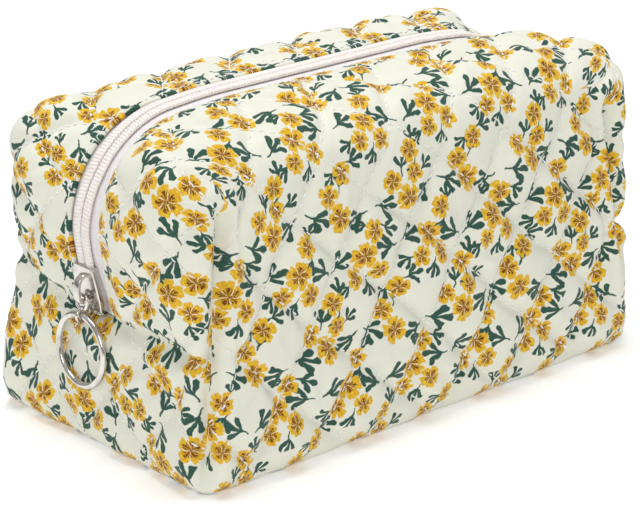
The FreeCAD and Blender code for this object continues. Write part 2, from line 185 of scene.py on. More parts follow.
def on_form(q):
    """Points of the straight box, carried out or in to the soft form, with its normals."""
    core = np.clip(q, CORE_LOW, CORE_HIGH)
    ray = unit(q - core)
    low = np.zeros(len(q))
    high = np.full(len(q), RAY_LENGTH)
    for _ in range(HALVINGS):
        middle = (low + high) / 2
        outside = form(core + ray * middle[:, None]) > 0
        high = np.where(outside, middle, high)
        low = np.where(outside, low, middle)
    p = core + ray * low[:, None]
    slope = np.zeros_like(p)
    for axis in range(3):
        nudge = np.zeros(3)
        nudge[axis] = SLOPE_STEP
        slope[:, axis] = form(p + nudge) - form(p - nudge)
    return p, unit(slope)


# ---- Cloth coordinates: how far along the cloth each point of the straight box lies


def arc_table(points):
    """Length along the form from the first of a row of box points to each of them."""
    p, _ = on_form(points)
    return np.concatenate([[0], np.cumsum(np.linalg.norm(np.diff(p, axis=0), axis=1))])


SAMPLES = 400
PANEL_MIDDLE = -35.0  # the panel between the zip and a wall is measured along its middle
ALONG = np.linspace(0, HALF_LENGTH, SAMPLES)
ACROSS = np.linspace(-HALF_DEPTH, HALF_DEPTH, SAMPLES)
UP = np.linspace(0, HEIGHT, SAMPLES)
STILL = np.zeros(SAMPLES)
TOP_ALONG = arc_table(np.column_stack([ALONG, STILL + PANEL_MIDDLE, STILL + HEIGHT]))
WALL_UP = arc_table(np.column_stack([STILL, STILL - HALF_DEPTH, UP]))
END_DOWN = arc_table(np.column_stack([STILL - HALF_LENGTH, STILL + PANEL_MIDDLE, UP[::-1]]))
TOP_ACROSS = arc_table(np.column_stack([STILL, ACROSS, STILL + HEIGHT]))
CORNER_PULL = 8.0  # how far the top of an upright corner seam is drawn along the wall


def corner_pull(q):
    """How far the seam at each upright corner is drawn along the wall, more towards the top."""
    to_edge = np.hypot(HALF_LENGTH - np.abs(q[:, 0]), HALF_DEPTH - np.abs(q[:, 1]))
    return CORNER_PULL * smooth(q[:, 2] / 92.0) * hump(to_edge, 16.0)


def cloth_on_side(side, q):
    """Cloth coordinates in millimetres for box points on one side of the box."""
    pull = corner_pull(q)
    x, y, z = q.T
    if side in ("front", "rear", "top"):
        x = x - np.sign(x) * pull
    if side in ("left", "right", "top"):
        y = y + np.sign(y) * pull
    along = np.sign(x) * np.interp(np.abs(x), ALONG, TOP_ALONG)
    near_top = smooth((z - 55.0) / 45.0)
    u = x + (along - x) * near_top
    across = WALL_UP[-1] + np.interp(y, ACROSS, TOP_ACROSS) + np.clip(y + HALF_DEPTH, None, 0)
    across += np.clip(y - HALF_DEPTH, 0, None)
    if side == "front":
        return np.column_stack([u, np.interp(z, UP, WALL_UP)])
    if side == "rear":
        return np.column_stack([u, WALL_UP[-1] * 2 + TOP_ACROSS[-1] - np.interp(z, UP, WALL_UP)])
    if side == "top":
        return np.column_stack([along, across])
    if side == "bottom":
        return np.column_stack([x, -(HALF_DEPTH + y)])
    down = np.interp(HEIGHT - z, UP, END_DOWN)
    upper = np.column_stack([np.sign(x) * (TOP_ALONG[-1] + down), across])
    lower = np.column_stack([np.sign(x) * (HALF_LENGTH + z), -(HALF_DEPTH + y)])
    return np.where((z > SEAM)[:, None], upper, lower)


# ---- Quilting: stitch lines in two slanting families

QUILT = 22.5  # between stitch lines
QUILT_TILTS = (math.radians(-41.0), math.radians(55.0))
PUFF_EDGE = 9.0  # the padding reaches its full height this far from a stitch line
PUFF_POWER = 2.4


def quilt_phase(cloth, tilt):
    """A number that is whole on each stitch line of a family, and the distance along the line."""
    across = -cloth[:, 0] * math.sin(tilt) + cloth[:, 1] * math.cos(tilt)
    along = cloth[:, 0] * math.cos(tilt) + cloth[:, 1] * math.sin(tilt)
    across += 0.7 * np.sin(along / 13.0 + across / 31.0) + 0.4 * np.sin(along / 5.3 + 1.0)
    return across / QUILT, along


def quilt_lines(cloth):
    """Distance to the nearest stitch line of each family."""
    distances = []
    for tilt in QUILT_TILTS:
        phase, _ = quilt_phase(cloth, tilt)
        distances.append(np.abs(phase - np.round(phase)) * QUILT)
    return distances


def puff(cloth):
    """Height of the padded diamonds above their stitch lines."""
    first, second = quilt_lines(cloth)
    rise = 1 - (1 - np.minimum(first / PUFF_EDGE, 1)) ** PUFF_POWER
    rise *= 1 - (1 - np.minimum(second / PUFF_EDGE, 1)) ** PUFF_POWER
    return rise


def waves(p, seed, scale, count=7):
    """Smooth pseudo-random height, from a few crossed sine waves."""
    rng = np.random.default_rng(seed)
    total = np.zeros(len(p))
    for _ in range(count):
        direction = rng.normal(size=3)
        direction *= (0.6 + rng.random()) / (np.linalg.norm(direction) * scale)
        total += np.sin(p @ direction * 2 * math.pi + rng.random() * 2 * math.pi)
    return total / math.sqrt(count)


# ---- The lattice of the straight box, which every cloth mesh is cut from


def steps(breaks, pitch):
    """Even steps between fixed breaks."""
    values = [breaks[0]]
    for a, b in zip(breaks, breaks[1:]):
        count = max(1, round((b - a) / pitch))
        values += [a + (b - a) * (k + 1) / count for k in range(count)]
    return np.array(values)


class Lattice:
    """Vertices on the faces of the straight box, welded along its edges."""

    def __init__(self, pitch, gap_front, gap_rear):
        self.xs = steps([-HALF_LENGTH, HALF_LENGTH], pitch)
        self.ys = steps([-HALF_DEPTH, gap_front, ZIP_Y, gap_rear, HALF_DEPTH], pitch)
        self.zs = steps([0, SEAM, HEIGHT], pitch)
        self.gap = (gap_front, gap_rear)
        nx, ny, nz = len(self.xs), len(self.ys), len(self.zs)
        self.index = {}
        self.points = []
        self.quads = []
        self.sides = []
        for side, rows, columns, corner in (
            ("front", nx, nz, lambda a, b: (a, 0, b)),
            ("rear", nx, nz, lambda a, b: (nx - 1 - a, ny - 1, b)),
            ("left", ny, nz, lambda a, b: (0, ny - 1 - a, b)),
            ("right", ny, nz, lambda a, b: (nx - 1, a, b)),
            ("top", nx, ny, lambda a, b: (a, b, nz - 1)),
            ("bottom", nx, ny, lambda a, b: (a, ny - 1 - b, 0)),
        ):
            for a in range(rows - 1):
                for b in range(columns - 1):
                    keys = [corner(a, b), corner(a + 1, b), corner(a + 1, b + 1), corner(a, b + 1)]
                    middle = np.mean([self.at(k) for k in keys], axis=0)
                    if self.in_slot(side, middle):
                        continue
                    self.quads.append([self.vertex(k) for k in keys])
                    self.sides.append(side)
        self.points = np.array(self.points)

    def at(self, key):
        return self.xs[key[0]], self.ys[key[1]], self.zs[key[2]]

    def vertex(self, key):
        if key not in self.index:
            self.index[key] = len(self.points)
            self.points.append(self.at(key))
        return self.index[key]

    def in_slot(self, side, middle):
        between = self.gap[0] < middle[1] < self.gap[1]
        return between and (side == "top" or side in ("left", "right") and middle[2] > SEAM)


def settle(q):
    """Moves box points so that lattice lines follow the real seams."""
    q = q.copy()
    hat = np.interp(q[:, 2], [0, SEAM, 82.0], [0, 1, 0])
    on_left = smooth((-q[:, 0] - 60.0) / 35.0)
    q[:, 2] += seam_rise(q[:, 0], q[:, 1]) * hat * on_left
    q[:, 0] -= np.sign(q[:, 0]) * corner_pull(q)
    return q


def seam_distance(q):
    """Distance to the nearest sewn seam: the four upright corners and the end seams."""
    end = HALF_LENGTH - np.abs(q[:, 0])
    side = HALF_DEPTH - np.abs(q[:, 1])
    above = np.maximum(q[:, 2] - 90.0, 0)
    upright = np.sqrt(np.minimum(end, 60) ** 2 + np.minimum(side, 60) ** 2 + above**2)
    level = np.hypot(q[:, 2] - SEAM, end * 3)
    return upright, level


def slot_distance(q, gap):
    """Distance to the zip's slot, over the top and the upper ends."""
    beside = np.maximum(gap[0] - q[:, 1], q[:, 1] - gap[1])
    below = np.where(np.abs(q[:, 0]) > HALF_LENGTH - 1, np.maximum(SEAM - q[:, 2], 0), 0)
    wall = np.where((q[:, 2] < HEIGHT - 1) & (np.abs(q[:, 0]) < HALF_LENGTH - 1), 60, 0)
    return np.sqrt(np.maximum(beside, 0) ** 2 + below**2 + wall**2)


def cloth_of_vertices(lattice):
    """Cloth coordinates of each lattice vertex, taken from one of the sides it is on."""
    cloth = np.zeros((len(lattice.points), 2))
    quads = np.array(lattice.quads)
    sides = np.array(lattice.sides)
    for side in ("bottom", "right", "left", "top", "rear", "front"):
        chosen = np.unique(quads[sides == side])
        cloth[chosen] = cloth_on_side(side, lattice.points[chosen])
    return cloth


CORNER_DIP = 3.4  # how far the cloth is drawn in along an upright corner seam
CORNER_FULLNESS = 1.3  # how full it is beside that seam, and as much again on the front half
END_SEAM_DIP = 1.2
END_SEAM_DIP_FRONT = 1.6  # deeper by this much towards the front
END_SEAM_FULLNESS = 0.5
END_SEAM_SWELLING = 0.9  # just below the end seam, towards the front
SLOT_DIP = 0.8  # the folded edge beside the zip
STITCH_DIP = 0.7
PUCKER = 0.22
DRIFT = 0.5  # slow unevenness of the whole surface
FRONT_PADDING = 0.35  # the quilting stands higher on the front wall by this share
EDGE_TAUTNESS = 0.65  # the cloth is taut where it bends over a long top edge


def seam_relief(q, upright, level, on_base):
    """How far the cloth is drawn in along its seams and stands full beside them."""
    below = smooth((SEAM + 1.0 - q[:, 2]) / 2.0)
    to_front = smooth((30.0 - q[:, 1]) / 50.0)
    dips = CORNER_DIP * hump(upright, 2.2) * on_base * smooth((98.0 - q[:, 2]) / 12.0)
    dips += (END_SEAM_DIP + END_SEAM_DIP_FRONT * to_front) * hump(level, 1.6)
    fullness = CORNER_FULLNESS * hump(upright - 6.5, 3.6) * (q[:, 1] < 0)
    fullness += CORNER_FULLNESS * hump(upright - 6.0, 3.4)
    fullness += END_SEAM_FULLNESS * hump(level - 6.0, 3.4)
    swelling = END_SEAM_SWELLING * hump(level - 5.0, 4.0) * below * to_front
    return fullness * on_base + swelling - dips


def shape(lattice, puff_height, offset=0.0):
    """The lattice laid on the bag's form with a little padding, and how firmly each point is held."""
    q = lattice.points
    cloth = cloth_of_vertices(lattice)
    p, normal = on_form(settle(q))
    upright, level = seam_distance(q)
    slot = slot_distance(q, lattice.gap)
    stitch = np.minimum(*quilt_lines(cloth))
    to_top_edge = np.hypot(HALF_DEPTH - np.abs(q[:, 1]), HEIGHT - q[:, 2])
    taut = EDGE_TAUTNESS * hump(to_top_edge, 15.0)
    on_front = smooth((6.0 - HALF_DEPTH - q[:, 1]) / 6.0)
    on_base = smooth((p[:, 2] - 1.5) / 10.0)
    calm = smooth(upright / 15.0) * smooth(level / 7.0) * smooth((slot - 2.0) / 9.0)
    calm *= (1 - taut) * (1 + FRONT_PADDING * on_front)
    height = puff_height * puff(cloth) * calm * (0.25 + 0.75 * on_base)
    height += seam_relief(q, upright, level, on_base)
    height += DRIFT * waves(p, 3, 60.0) * on_base * calm
    height -= STITCH_DIP * hump(stitch, 1.8) * calm * on_base
    height += PUCKER * waves(cloth[:, [0, 1, 1]], 5, 9.0) * hump(stitch, 4.0) * calm * on_base
    height -= SLOT_DIP * hump(slot, 1.1)
    sewn = np.maximum(hump(upright, 6.0), hump(level, 2.0))
    held = [hump(stitch, 1.0), sewn, 1.45 * taut, hump(slot, 5.0), 1 - on_base]
    held = np.clip(np.maximum.reduce(held), 0, 1)
    return p + normal * (height + offset)[:, None], held


# ---- Mesh making


def make_object(name, vertices, faces, material=None):
    """A smooth-shaded mesh object from points in millimetres."""
    mesh = bpy.data.meshes.new(name)
    mesh.from_pydata((np.asarray(vertices) * MM).tolist(), [], faces)
    mesh.validate()
    mesh.shade_smooth()
    made = bpy.data.objects.new(name, mesh)
    bpy.context.scene.collection.objects.link(made)
    if material:
        mesh.materials.append(material)
    return made


def tube_faces(rings, around, closed, start):
    """Quads between rings of points, numbered ring by ring."""
    faces = []
    for a in range(rings if closed else rings - 1):
        for b in range(around):
            c, d = (a + 1) % rings, (b + 1) % around
            corners = (a * around + b, a * around + d, c * around + d, c * around + b)
            faces.append([start + k for k in corners])
    return faces


def tubes(name, runs, material, closed=False):
    """One mesh of several tubes. Each run is an array of rings of points: (rings, points, 3)."""
    vertices = []
    faces = []
    count = 0
    for run in runs:
        rings, around = run.shape[:2]
        faces += tube_faces(rings, around, closed, count)
        if not closed:
            faces.append([count + k for k in range(around)][::-1])
            faces.append([count + (rings - 1) * around + k for k in range(around)])
        vertices.append(run.reshape(-1, 3))
        count += rings * around
    return make_object(name, np.concatenate(vertices), faces, material)


def sweep(path, section, side, closed=False, scale=None):
    """Rings of a section, (across, out) pairs, carried along a path. The side is its across."""
    if closed:
        ahead = np.roll(path, -1, axis=0) - np.roll(path, 1, axis=0)
    else:
        ahead = np.gradient(path, axis=0)
    ahead = unit(ahead)
    side = np.tile(side, (len(path), 1)) if np.ndim(side) == 1 else side
    side = unit(side - (side * ahead).sum(axis=1)[:, None] * ahead)
    out = np.cross(ahead, side)
    scale = np.ones(len(path)) if scale is None else np.asarray(scale)
    across = side[:, None] * (section[None, :, 0] * scale[:, None])[:, :, None]
    outward = out[:, None] * (section[None, :, 1] * scale[:, None])[:, :, None]
    return path[:, None] + across + outward


def oval(wide, thick, count, power=1.0):
    """A rounded section. A power under 1 squares it off."""
    angle = np.linspace(0, 2 * math.pi, count, endpoint=False)
    c, s = np.cos(angle), np.sin(angle)
    return np.column_stack(
        [
            wide / 2 * np.sign(c) * np.abs(c) ** power,
            thick / 2 * np.sign(s) * np.abs(s) ** power,
        ]
    )


CLOTH_UNIT = 100.0  # millimetres to one unit of the cloth map


def read(items, what, width, kind=float):
    """One property of each of a mesh's items, as rows of numbers."""
    values = np.empty(len(items) * width, dtype=kind)
    items.foreach_get(what, values)
    return values.reshape(-1, width)


def set_cloth_map(made, values):
    """Gives each corner of each face its place on the flat cloth."""
    layer = made.data.uv_layers.new(name="cloth")
    layer.data.foreach_set("uv", values.astype(np.float32).ravel())


BOX_SIDES = ("front", "rear", "left", "right", "top", "bottom")


class Cloth:
    """A sewn cloth mesh: points, quads, cloth map, and which half each quad is in."""

    def __init__(self, points, quads, cloth_map, in_front, side_code, normals):
        self.points = points
        self.side_code = side_code
        self.quads = quads
        self.cloth_map = cloth_map
        self.in_front = in_front
        self.normals = normals

    def cut(self, name, side, material):
        chosen = self.in_front if side == "front" else ~self.in_front
        used, faces = np.unique(self.quads[chosen], return_inverse=True)
        made = make_object(name, self.points[used], faces.reshape(-1, 4).tolist(), material)
        set_cloth_map(made, self.cloth_map[chosen])
        made.data.normals_split_custom_set_from_vertices(self.normals[used].tolist())
        return made


def cloth_map_of(lattice):
    """Cloth coordinates of every corner of every quad, in the cloth map's units."""
    quads = np.array(lattice.quads)
    sides = np.array(lattice.sides)
    middle = lattice.points[quads].mean(axis=1)
    values = np.zeros((len(quads), 4, 2))
    for side in set(lattice.sides):
        here = sides == side
        q = lattice.points[quads[here]]
        lean = (middle[here][:, None] - q) * 1e-3
        flat = (q + lean).reshape(-1, 3)
        values[here] = cloth_on_side(side, flat).reshape(-1, 4, 2)
    return values / CLOTH_UNIT


def read_mesh(mesh):
    """A mesh's points in millimetres, its quads, its cloth map and its normals."""
    points = read(mesh.vertices, "co", 3) / MM
    quads = read(mesh.loops, "vertex_index", 1, np.int64).reshape(-1, 4)
    cloth_map = read(mesh.uv_layers["cloth"].data, "uv", 2).reshape(-1, 4, 2)
    return points, quads, cloth_map, read(mesh.vertices, "normal", 3)


def add_lips(points, quads, cloth_map, normals, profile):
    """Rolls the cloth's open edge under. The profile gives steps outward and along the normal."""
    starts = quads.ravel()
    ends = np.roll(quads, -1, axis=1).ravel()
    keys = np.sort(np.column_stack([starts, ends]), axis=1)
    _, first, counts = np.unique(keys, axis=0, return_index=True, return_counts=True)
    border = first[counts == 1]
    a, b = starts[border], ends[border]
    along = points[b] - points[a]
    outward = unit(np.cross(along, normals[a] + normals[b]))
    rim = np.unique(np.concatenate([a, b]))
    place = np.full(len(points), -1)
    place[rim] = np.arange(len(rim))
    push = np.zeros((len(rim), 3))
    np.add.at(push, place[a], outward)
    np.add.at(push, place[b], outward)
    push = unit(push)
    rows = [points[rim] + push * out + normals[rim] * up for out, up in profile]
    index = [rim] + [len(points) + k * len(rim) + np.arange(len(rim)) for k in range(len(rows))]
    corner = border % 4
    face = border // 4
    uv_a = cloth_map[face, corner]
    uv_b = cloth_map[face, (corner + 1) % 4]
    for upper, lower in zip(index, index[1:]):
        new = np.column_stack([upper[place[b]], upper[place[a]], lower[place[a]], lower[place[b]]])
        quads = np.concatenate([quads, new])
        cloth_map = np.concatenate([cloth_map, np.stack([uv_b, uv_a, uv_a, uv_b], axis=1)])
    return np.concatenate([points, *rows]), quads, cloth_map, face


LIP = ((0.5, -0.2), (0.75, -0.65), (0.55, -1.15), (-0.2, -1.45), (-2.0, -1.6))


def sewn_cloth(lattice, points, levels, lip=LIP):
    """The lattice as smooth cloth, its open edges rolled under beside the zip."""
    rough = make_object("rough", points, lattice.quads)
    set_cloth_map(rough, cloth_map_of(lattice))
    if levels:
        smoother = rough.modifiers.new("smooth", "SUBSURF")
        smoother.levels = levels
        smoother.render_levels = levels
        smoother.uv_smooth = "NONE"
        smoother.boundary_smooth = "PRESERVE_CORNERS"
    shown = rough.evaluated_get(bpy.context.evaluated_depsgraph_get())
    points, quads, cloth_map, normals = read_mesh(shown.to_mesh())
    bpy.data.objects.remove(rough)
    middle = lattice.points[np.array(lattice.quads)].mean(axis=1)
    in_front = np.repeat(middle[:, 1] < ZIP_Y, 4**levels)
    codes = [BOX_SIDES.index(side) for side in lattice.sides]
    side_code = np.repeat(codes, 4**levels)
    points, quads, cloth_map, face = add_lips(points, quads, cloth_map, normals, lip)
    in_front = np.concatenate([in_front, *([in_front[face]] * len(lip))])
    side_code = np.concatenate([side_code, np.full(len(face) * len(lip), -1)])
    whole = make_object("whole", points, quads.tolist())
    normals = read(whole.data.vertices, "normal", 3)
    bpy.data.objects.remove(whole)
    return Cloth(points, quads, cloth_map, in_front, side_code, normals)


SWELL_PRESSURE = 8.0
SWELL_GROWTH = 0.05
SWELL_FRAMES = 16
SWELL_CAP = 4.0  # the most that the padding lifts the cloth


def swell(lattice, points, held):
    """Lets the padded cloth swell between its stitch lines. Returns where its points settle."""
    body = make_object("swelling", points, lattice.quads)
    group = body.vertex_groups.new(name="held")
    for level in np.unique(np.round(held, 2)):
        group.add(np.nonzero(np.abs(held - level) < 0.006)[0].tolist(), float(level), "REPLACE")
    modifier = body.modifiers.new("cloth", "CLOTH")
    cloth = modifier.settings
    cloth.quality = 6
    cloth.mass = 0.2
    cloth.tension_stiffness = 20.0
    cloth.compression_stiffness = 12.0
    cloth.shear_stiffness = 6.0
    cloth.bending_stiffness = 0.06
    cloth.air_damping = 4.0
    cloth.vertex_group_mass = "held"
    cloth.pin_stiffness = 1.0
    cloth.use_pressure = True
    cloth.uniform_pressure_force = SWELL_PRESSURE
    cloth.shrink_min = -SWELL_GROWTH
    cloth.effector_weights.gravity = 0.0
    modifier.collision_settings.use_collision = False
    modifier.point_cache.frame_start = 1
    modifier.point_cache.frame_end = SWELL_FRAMES
    for step in range(1, SWELL_FRAMES + 1):
        bpy.context.scene.frame_set(step)
    shown = body.evaluated_get(bpy.context.evaluated_depsgraph_get())
    moved = read(shown.to_mesh().vertices, "co", 3) / MM - points
    bpy.data.objects.remove(body)
    bpy.context.scene.frame_set(1)
    far = np.linalg.norm(moved, axis=1)
    moved *= (SWELL_CAP * np.tanh(far / SWELL_CAP) / np.maximum(far, 1e-9))[:, None]
    return points + moved


RING_TILT = math.radians(3.0)  # how far the hanging ring leans out at its lower edge
RING_ROOM = 1.35  # from the ring's middle plane to the cloth that it lies on
RING_DROP = 11.0  # from the link's eye down to the middle of the pressed cloth


def press_under_ring(p):
    """The cloth of the left end gives way where the ring lies on it."""
    plane = EYE[0] - (EYE[2] - p[:, 2]) * math.tan(RING_TILT) + RING_ROOM
    aside = np.hypot(p[:, 1] - EYE[1], p[:, 2] - (EYE[2] - RING_DROP))
    reach = smooth((24.0 - aside) / 9.0) * (p[:, 0] < 0) * smooth((SEAM + 1.0 - p[:, 2]) / 3.0)
    p = p.copy()
    p[:, 0] += np.maximum(plane - p[:, 0], 0) * reach
    return p


def bend_with(made):
    """Bakes the piece's placement into its mesh."""
    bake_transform(made)


# ---- Materials


def plain(name, colour, roughness=0.8, metallic=0.0):
    material = bpy.data.materials.new(name)
    material.use_nodes = True
    shader = material.node_tree.nodes["Principled BSDF"]
    shader.inputs["Base Color"].default_value = (*colour, 1)
    shader.inputs["Roughness"].default_value = roughness
    shader.inputs["Metallic"].default_value = metallic
    return material


class Field:
    """A number that varies over a surface. Arithmetic on it adds math nodes to its tree."""

    def __init__(self, tree, socket):
        self.tree = tree
        self.socket = socket

    def op(self, kind, *others):
        node = self.tree.nodes.new("ShaderNodeMath")
        node.operation = kind
        for place, value in enumerate((self, *others)):
            if isinstance(value, Field):
                self.tree.links.new(value.socket, node.inputs[place])
            else:
                node.inputs[place].default_value = value
        return Field(self.tree, node.outputs[0])

    def __add__(self, other):
        return self.op("ADD", other)

    def __sub__(self, other):
        return self.op("SUBTRACT", other)

    def __mul__(self, other):
        return self.op("MULTIPLY", other)

    def __truediv__(self, other):
        return self.op("DIVIDE", other)

    def clip(self):
        """Limited to 0 and 1."""
        node = self.tree.nodes.new("ShaderNodeClamp")
        self.tree.links.new(self.socket, node.inputs[0])
        return Field(self.tree, node.outputs[0])

    def least(self, other):
        return self.op("MINIMUM", other)

    def most(self, other):
        return self.op("MAXIMUM", other)

    def size(self):
        return self.op("ABSOLUTE")

    def power(self, exponent):
        return self.op("POWER", exponent)

    def within(self, limit, edge):
        """1 where the number is below the limit, falling to 0 over the edge."""
        return ((self - limit) * (-1.0 / edge) + 0.5).clip()


def join_vector(x, y, z=0.0):
    node = x.tree.nodes.new("ShaderNodeCombineXYZ")
    for place, value in enumerate((x, y, z)):
        if isinstance(value, Field):
            x.tree.links.new(value.socket, node.inputs[place])
        else:
            node.inputs[place].default_value = value
    return node.outputs[0]


def split_vector(tree, socket):
    node = tree.nodes.new("ShaderNodeSeparateXYZ")
    tree.links.new(socket, node.inputs[0])
    return [Field(tree, node.outputs[k]) for k in range(3)]


def noise(tree, vector, scale, detail=2.0, roughness=0.5):
    node = tree.nodes.new("ShaderNodeTexNoise")
    node.inputs["Scale"].default_value = scale
    node.inputs["Detail"].default_value = detail
    node.inputs["Roughness"].default_value = roughness
    tree.links.new(vector, node.inputs["Vector"])
    return node


def mix(tree, share, first, second):
    """One colour over another. A colour is three numbers or a socket."""
    node = tree.nodes.new("ShaderNodeMix")
    node.data_type = "RGBA"
    tree.links.new(share.socket, node.inputs["Factor"])
    for name, colour in (("A", first), ("B", second)):
        socket = next(i for i in node.inputs if i.name == name and i.type == "RGBA")
        if isinstance(colour, tuple):
            socket.default_value = (*colour, 1)
        else:
            tree.links.new(colour, socket)
    return next(o for o in node.outputs if o.type == "RGBA")


def turned(x, y, angle):
    """Coordinates turned by an angle, a number or a Field."""
    if isinstance(angle, Field):
        c, s = angle.op("COSINE"), angle.op("SINE")
        return x * c + y * s, y * c - x * s
    c, s = math.cos(angle), math.sin(angle)
    return x * c + y * s, y * c + x * (-s)


def flower(x, y, radius, turn):
    """Masks of a five-petalled flower: its petals, its dark veins and its pale stamens."""
    r = (x * x + y * y).op("SQRT") / radius
    petal = y.op("ARCTAN2", x) * (5 / (2 * math.pi)) + turn
    aside = ((petal.op("FRACT") - 0.5) * 2.0).size()
    reach = aside.power(4.0) * -0.42 + 1.0
    notch = (aside * -5.0 + 1.0).clip() * 0.15
    frill = ((petal * 6 * math.pi).op("COSINE")) * 0.035
    petals = (r - reach + notch + frill).within(0.0, 0.09)
    vein = aside.within(0.30, 0.14) * (r - 0.37).size().within(0.24, 0.08)
    side_vein = (aside - 0.62).size().within(0.15, 0.10) * (r - 0.34).size().within(0.17, 0.08)
    flush = r.within(0.45, 0.4) * 0.25
    stamen = aside.within(0.86, 0.12) * -1.0 + 1.0
    stamen = stamen * r.within(0.50, 0.10)
    return petals, vein.most(side_vein).most(r.within(0.13, 0.08)).most(flush), stamen


def capsule(x, y, start, end, thin, thick):
    """Signed distance to a club with round ends, thick at its end."""
    along = (end[0] - start[0], end[1] - start[1])
    length = along[0] ** 2 + along[1] ** 2
    px, py = x - start[0], y - start[1]
    t = (px * (along[0] / length) + py * (along[1] / length)).clip()
    dx, dy = px - t * along[0], py - t * along[1]
    return (dx * dx + dy * dy).op("SQRT") - (t * (thick - thin) + thin)


def sprig(x, y):
    """Mask of a small forked leaf, in millimetres, that grows along +Y from its stem."""
    aside = x.size()
    stem = capsule(x, y, (0.0, -3.6), (0.0, 0.2), 0.2, 0.42)
    crown = capsule(x, y, (0.0, 0.2), (0.0, 3.2), 0.4, 0.92)
    arms = capsule(aside, y, (0.15, -1.3), (2.3, 1.5), 0.36, 0.85)
    return stem.least(crown).least(arms).within(0.0, 0.2)


class Print:
    """The flower print, gathered motif by motif."""

    TILE = (27.5, 20.0)  # one motif's room; the print repeats every second one
    SLANT = 9.5  # each row starts this much further along

    def __init__(self, tree, u, v):
        self.tree = tree
        self.u = u
        self.v = v
        self.masks = {}

    def gather(self, name, mask, petals=None):
        """Adds to a mask. Petals hide what they lie over of the earlier mask."""
        if name in self.masks:
            earlier = self.masks[name]
            if petals is not None:
                earlier = earlier * (petals * -1 + 1)
            mask = earlier.most(mask)
        self.masks[name] = mask

    def cell(self, shift_u, shift_v, seed):
        """Place within the nearest motif's room, and three random numbers of that motif."""
        v = self.v + shift_v
        row = (v / self.TILE[1]).op("ROUND")
        u = self.u + shift_u + row * self.SLANT
        column = (u / self.TILE[0]).op("ROUND")
        noise_node = self.tree.nodes.new("ShaderNodeTexWhiteNoise")
        noise_node.noise_dimensions = "3D"
        key = join_vector(column.op("FLOORED_MODULO", 2.0), row.op("FLOORED_MODULO", 2.0), seed)
        self.tree.links.new(key, noise_node.inputs["Vector"])
        chance = split_vector(self.tree, noise_node.outputs["Color"])
        return u - column * self.TILE[0], v - row * self.TILE[1], chance

    def add_flower(self, x, y, place, radius, turn, present=None):
        petals, veins, stamens = flower(x - place[0], y - place[1], radius, turn)
        if present is not None:
            petals, veins, stamens = petals * present, veins * present, stamens * present
        self.gather("veins", veins, petals)
        self.gather("stamens", stamens, petals)
        self.gather("petals", petals)

    def add_sprig(self, x, y, place, angle, scale=1.0, present=None):
        sx, sy = turned(x - place[0], y - place[1], angle)
        mask = sprig(sx / scale, sy / scale)
        if present is not None:
            mask = mask * present
        self.gather("leaves", mask)


def make_print(tree, u, v):
    made = Print(tree, u, v)
    x, y, chance = made.cell(0.0, 0.0, 2.3)
    flip = chance[0].op("GREATER_THAN", 0.5) * math.pi
    x, y = turned(x, y, flip + (chance[1] - 0.5) * 0.5)
    third = chance[2].op("GREATER_THAN", 0.35)
    made.add_sprig(x, y, (8.8, -3.4), 2.0, 1.15)
    made.add_sprig(x, y, (-8.2, -3.4), -1.9, 1.2)
    made.add_sprig(x, y, (0.6, 7.4), -0.3, 0.95)
    made.add_sprig(x, y, (10.0, 4.2), -1.1, 0.85, third)
    made.add_flower(x, y, (-4.2, 3.2), 3.7, chance[1] * 3.0)
    made.add_flower(x, y, (4.9, 3.2), 3.4, chance[0] * 5.0, third)
    made.add_flower(x, y, (0.6, -3.1), 4.5, chance[2] * 4.0)
    x, y, chance = made.cell(made.TILE[0] / 2, made.TILE[1] / 2, 7.7)
    x, y = turned(x, y, chance[0] * 6.3)
    made.add_sprig(x, y, (4.8, 0.6), -1.9, 1.0)
    made.add_sprig(x, y, (-5.2, 1.8), 1.6, 0.8)
    made.add_flower(x, y, (-0.9, -0.2), 3.8, chance[1] * 3.0)
    return made.masks


def make_cotton():
    """Printed plain-weave cotton: off-white ground, yellow flowers and dark green sprigs."""
    material = bpy.data.materials.new("printed_cotton")
    material.use_nodes = True
    tree = material.node_tree
    shader = tree.nodes["Principled BSDF"]
    cloth = tree.nodes.new("ShaderNodeUVMap")
    cloth.uv_map = "cloth"
    u, v, _ = split_vector(tree, cloth.outputs[0])
    wander = noise(tree, cloth.outputs[0], 38.0, 1.0)
    shift_u, shift_v, _ = split_vector(tree, wander.outputs["Color"])
    drawn = make_print(tree, u * CLOTH_UNIT + shift_u * 1.9, v * CLOTH_UNIT + shift_v * 1.9)
    patch = noise(tree, cloth.outputs[0], 130.0, 2.0)
    patchy = Field(tree, patch.outputs["Fac"])
    ground = mix(tree, patchy, (0.765, 0.765, 0.655), (0.81, 0.81, 0.70))
    leaf = mix(tree, patchy, (0.014, 0.062, 0.045), (0.045, 0.115, 0.082))
    petal = mix(tree, (patchy * 2.4 - 0.7).clip(), (0.60, 0.32, 0.01), (0.90, 0.585, 0.04))
    colour = mix(tree, drawn["leaves"], ground, leaf)
    colour = mix(tree, drawn["petals"], colour, petal)
    broken = Field(tree, noise(tree, cloth.outputs[0], 210.0, 1.0).outputs["Fac"])
    veins = drawn["veins"] * (broken * 7.0 - 2.0).clip()
    colour = mix(tree, veins * 0.95, colour, (0.15, 0.03, 0.008))
    colour = mix(tree, drawn["stamens"] * 0.8, colour, (0.88, 0.72, 0.55))
    tree.links.new(colour, shader.inputs["Base Color"])
    shader.inputs["Roughness"].default_value = 0.86
    shader.inputs["Sheen Weight"].default_value = 0.12
    shader.inputs["Sheen Roughness"].default_value = 0.5
    shader.inputs["Specular IOR Level"].default_value = 0.25
    add_weave(tree, shader, u * CLOTH_UNIT, v * CLOTH_UNIT, 0.42, 0.05)
    return material


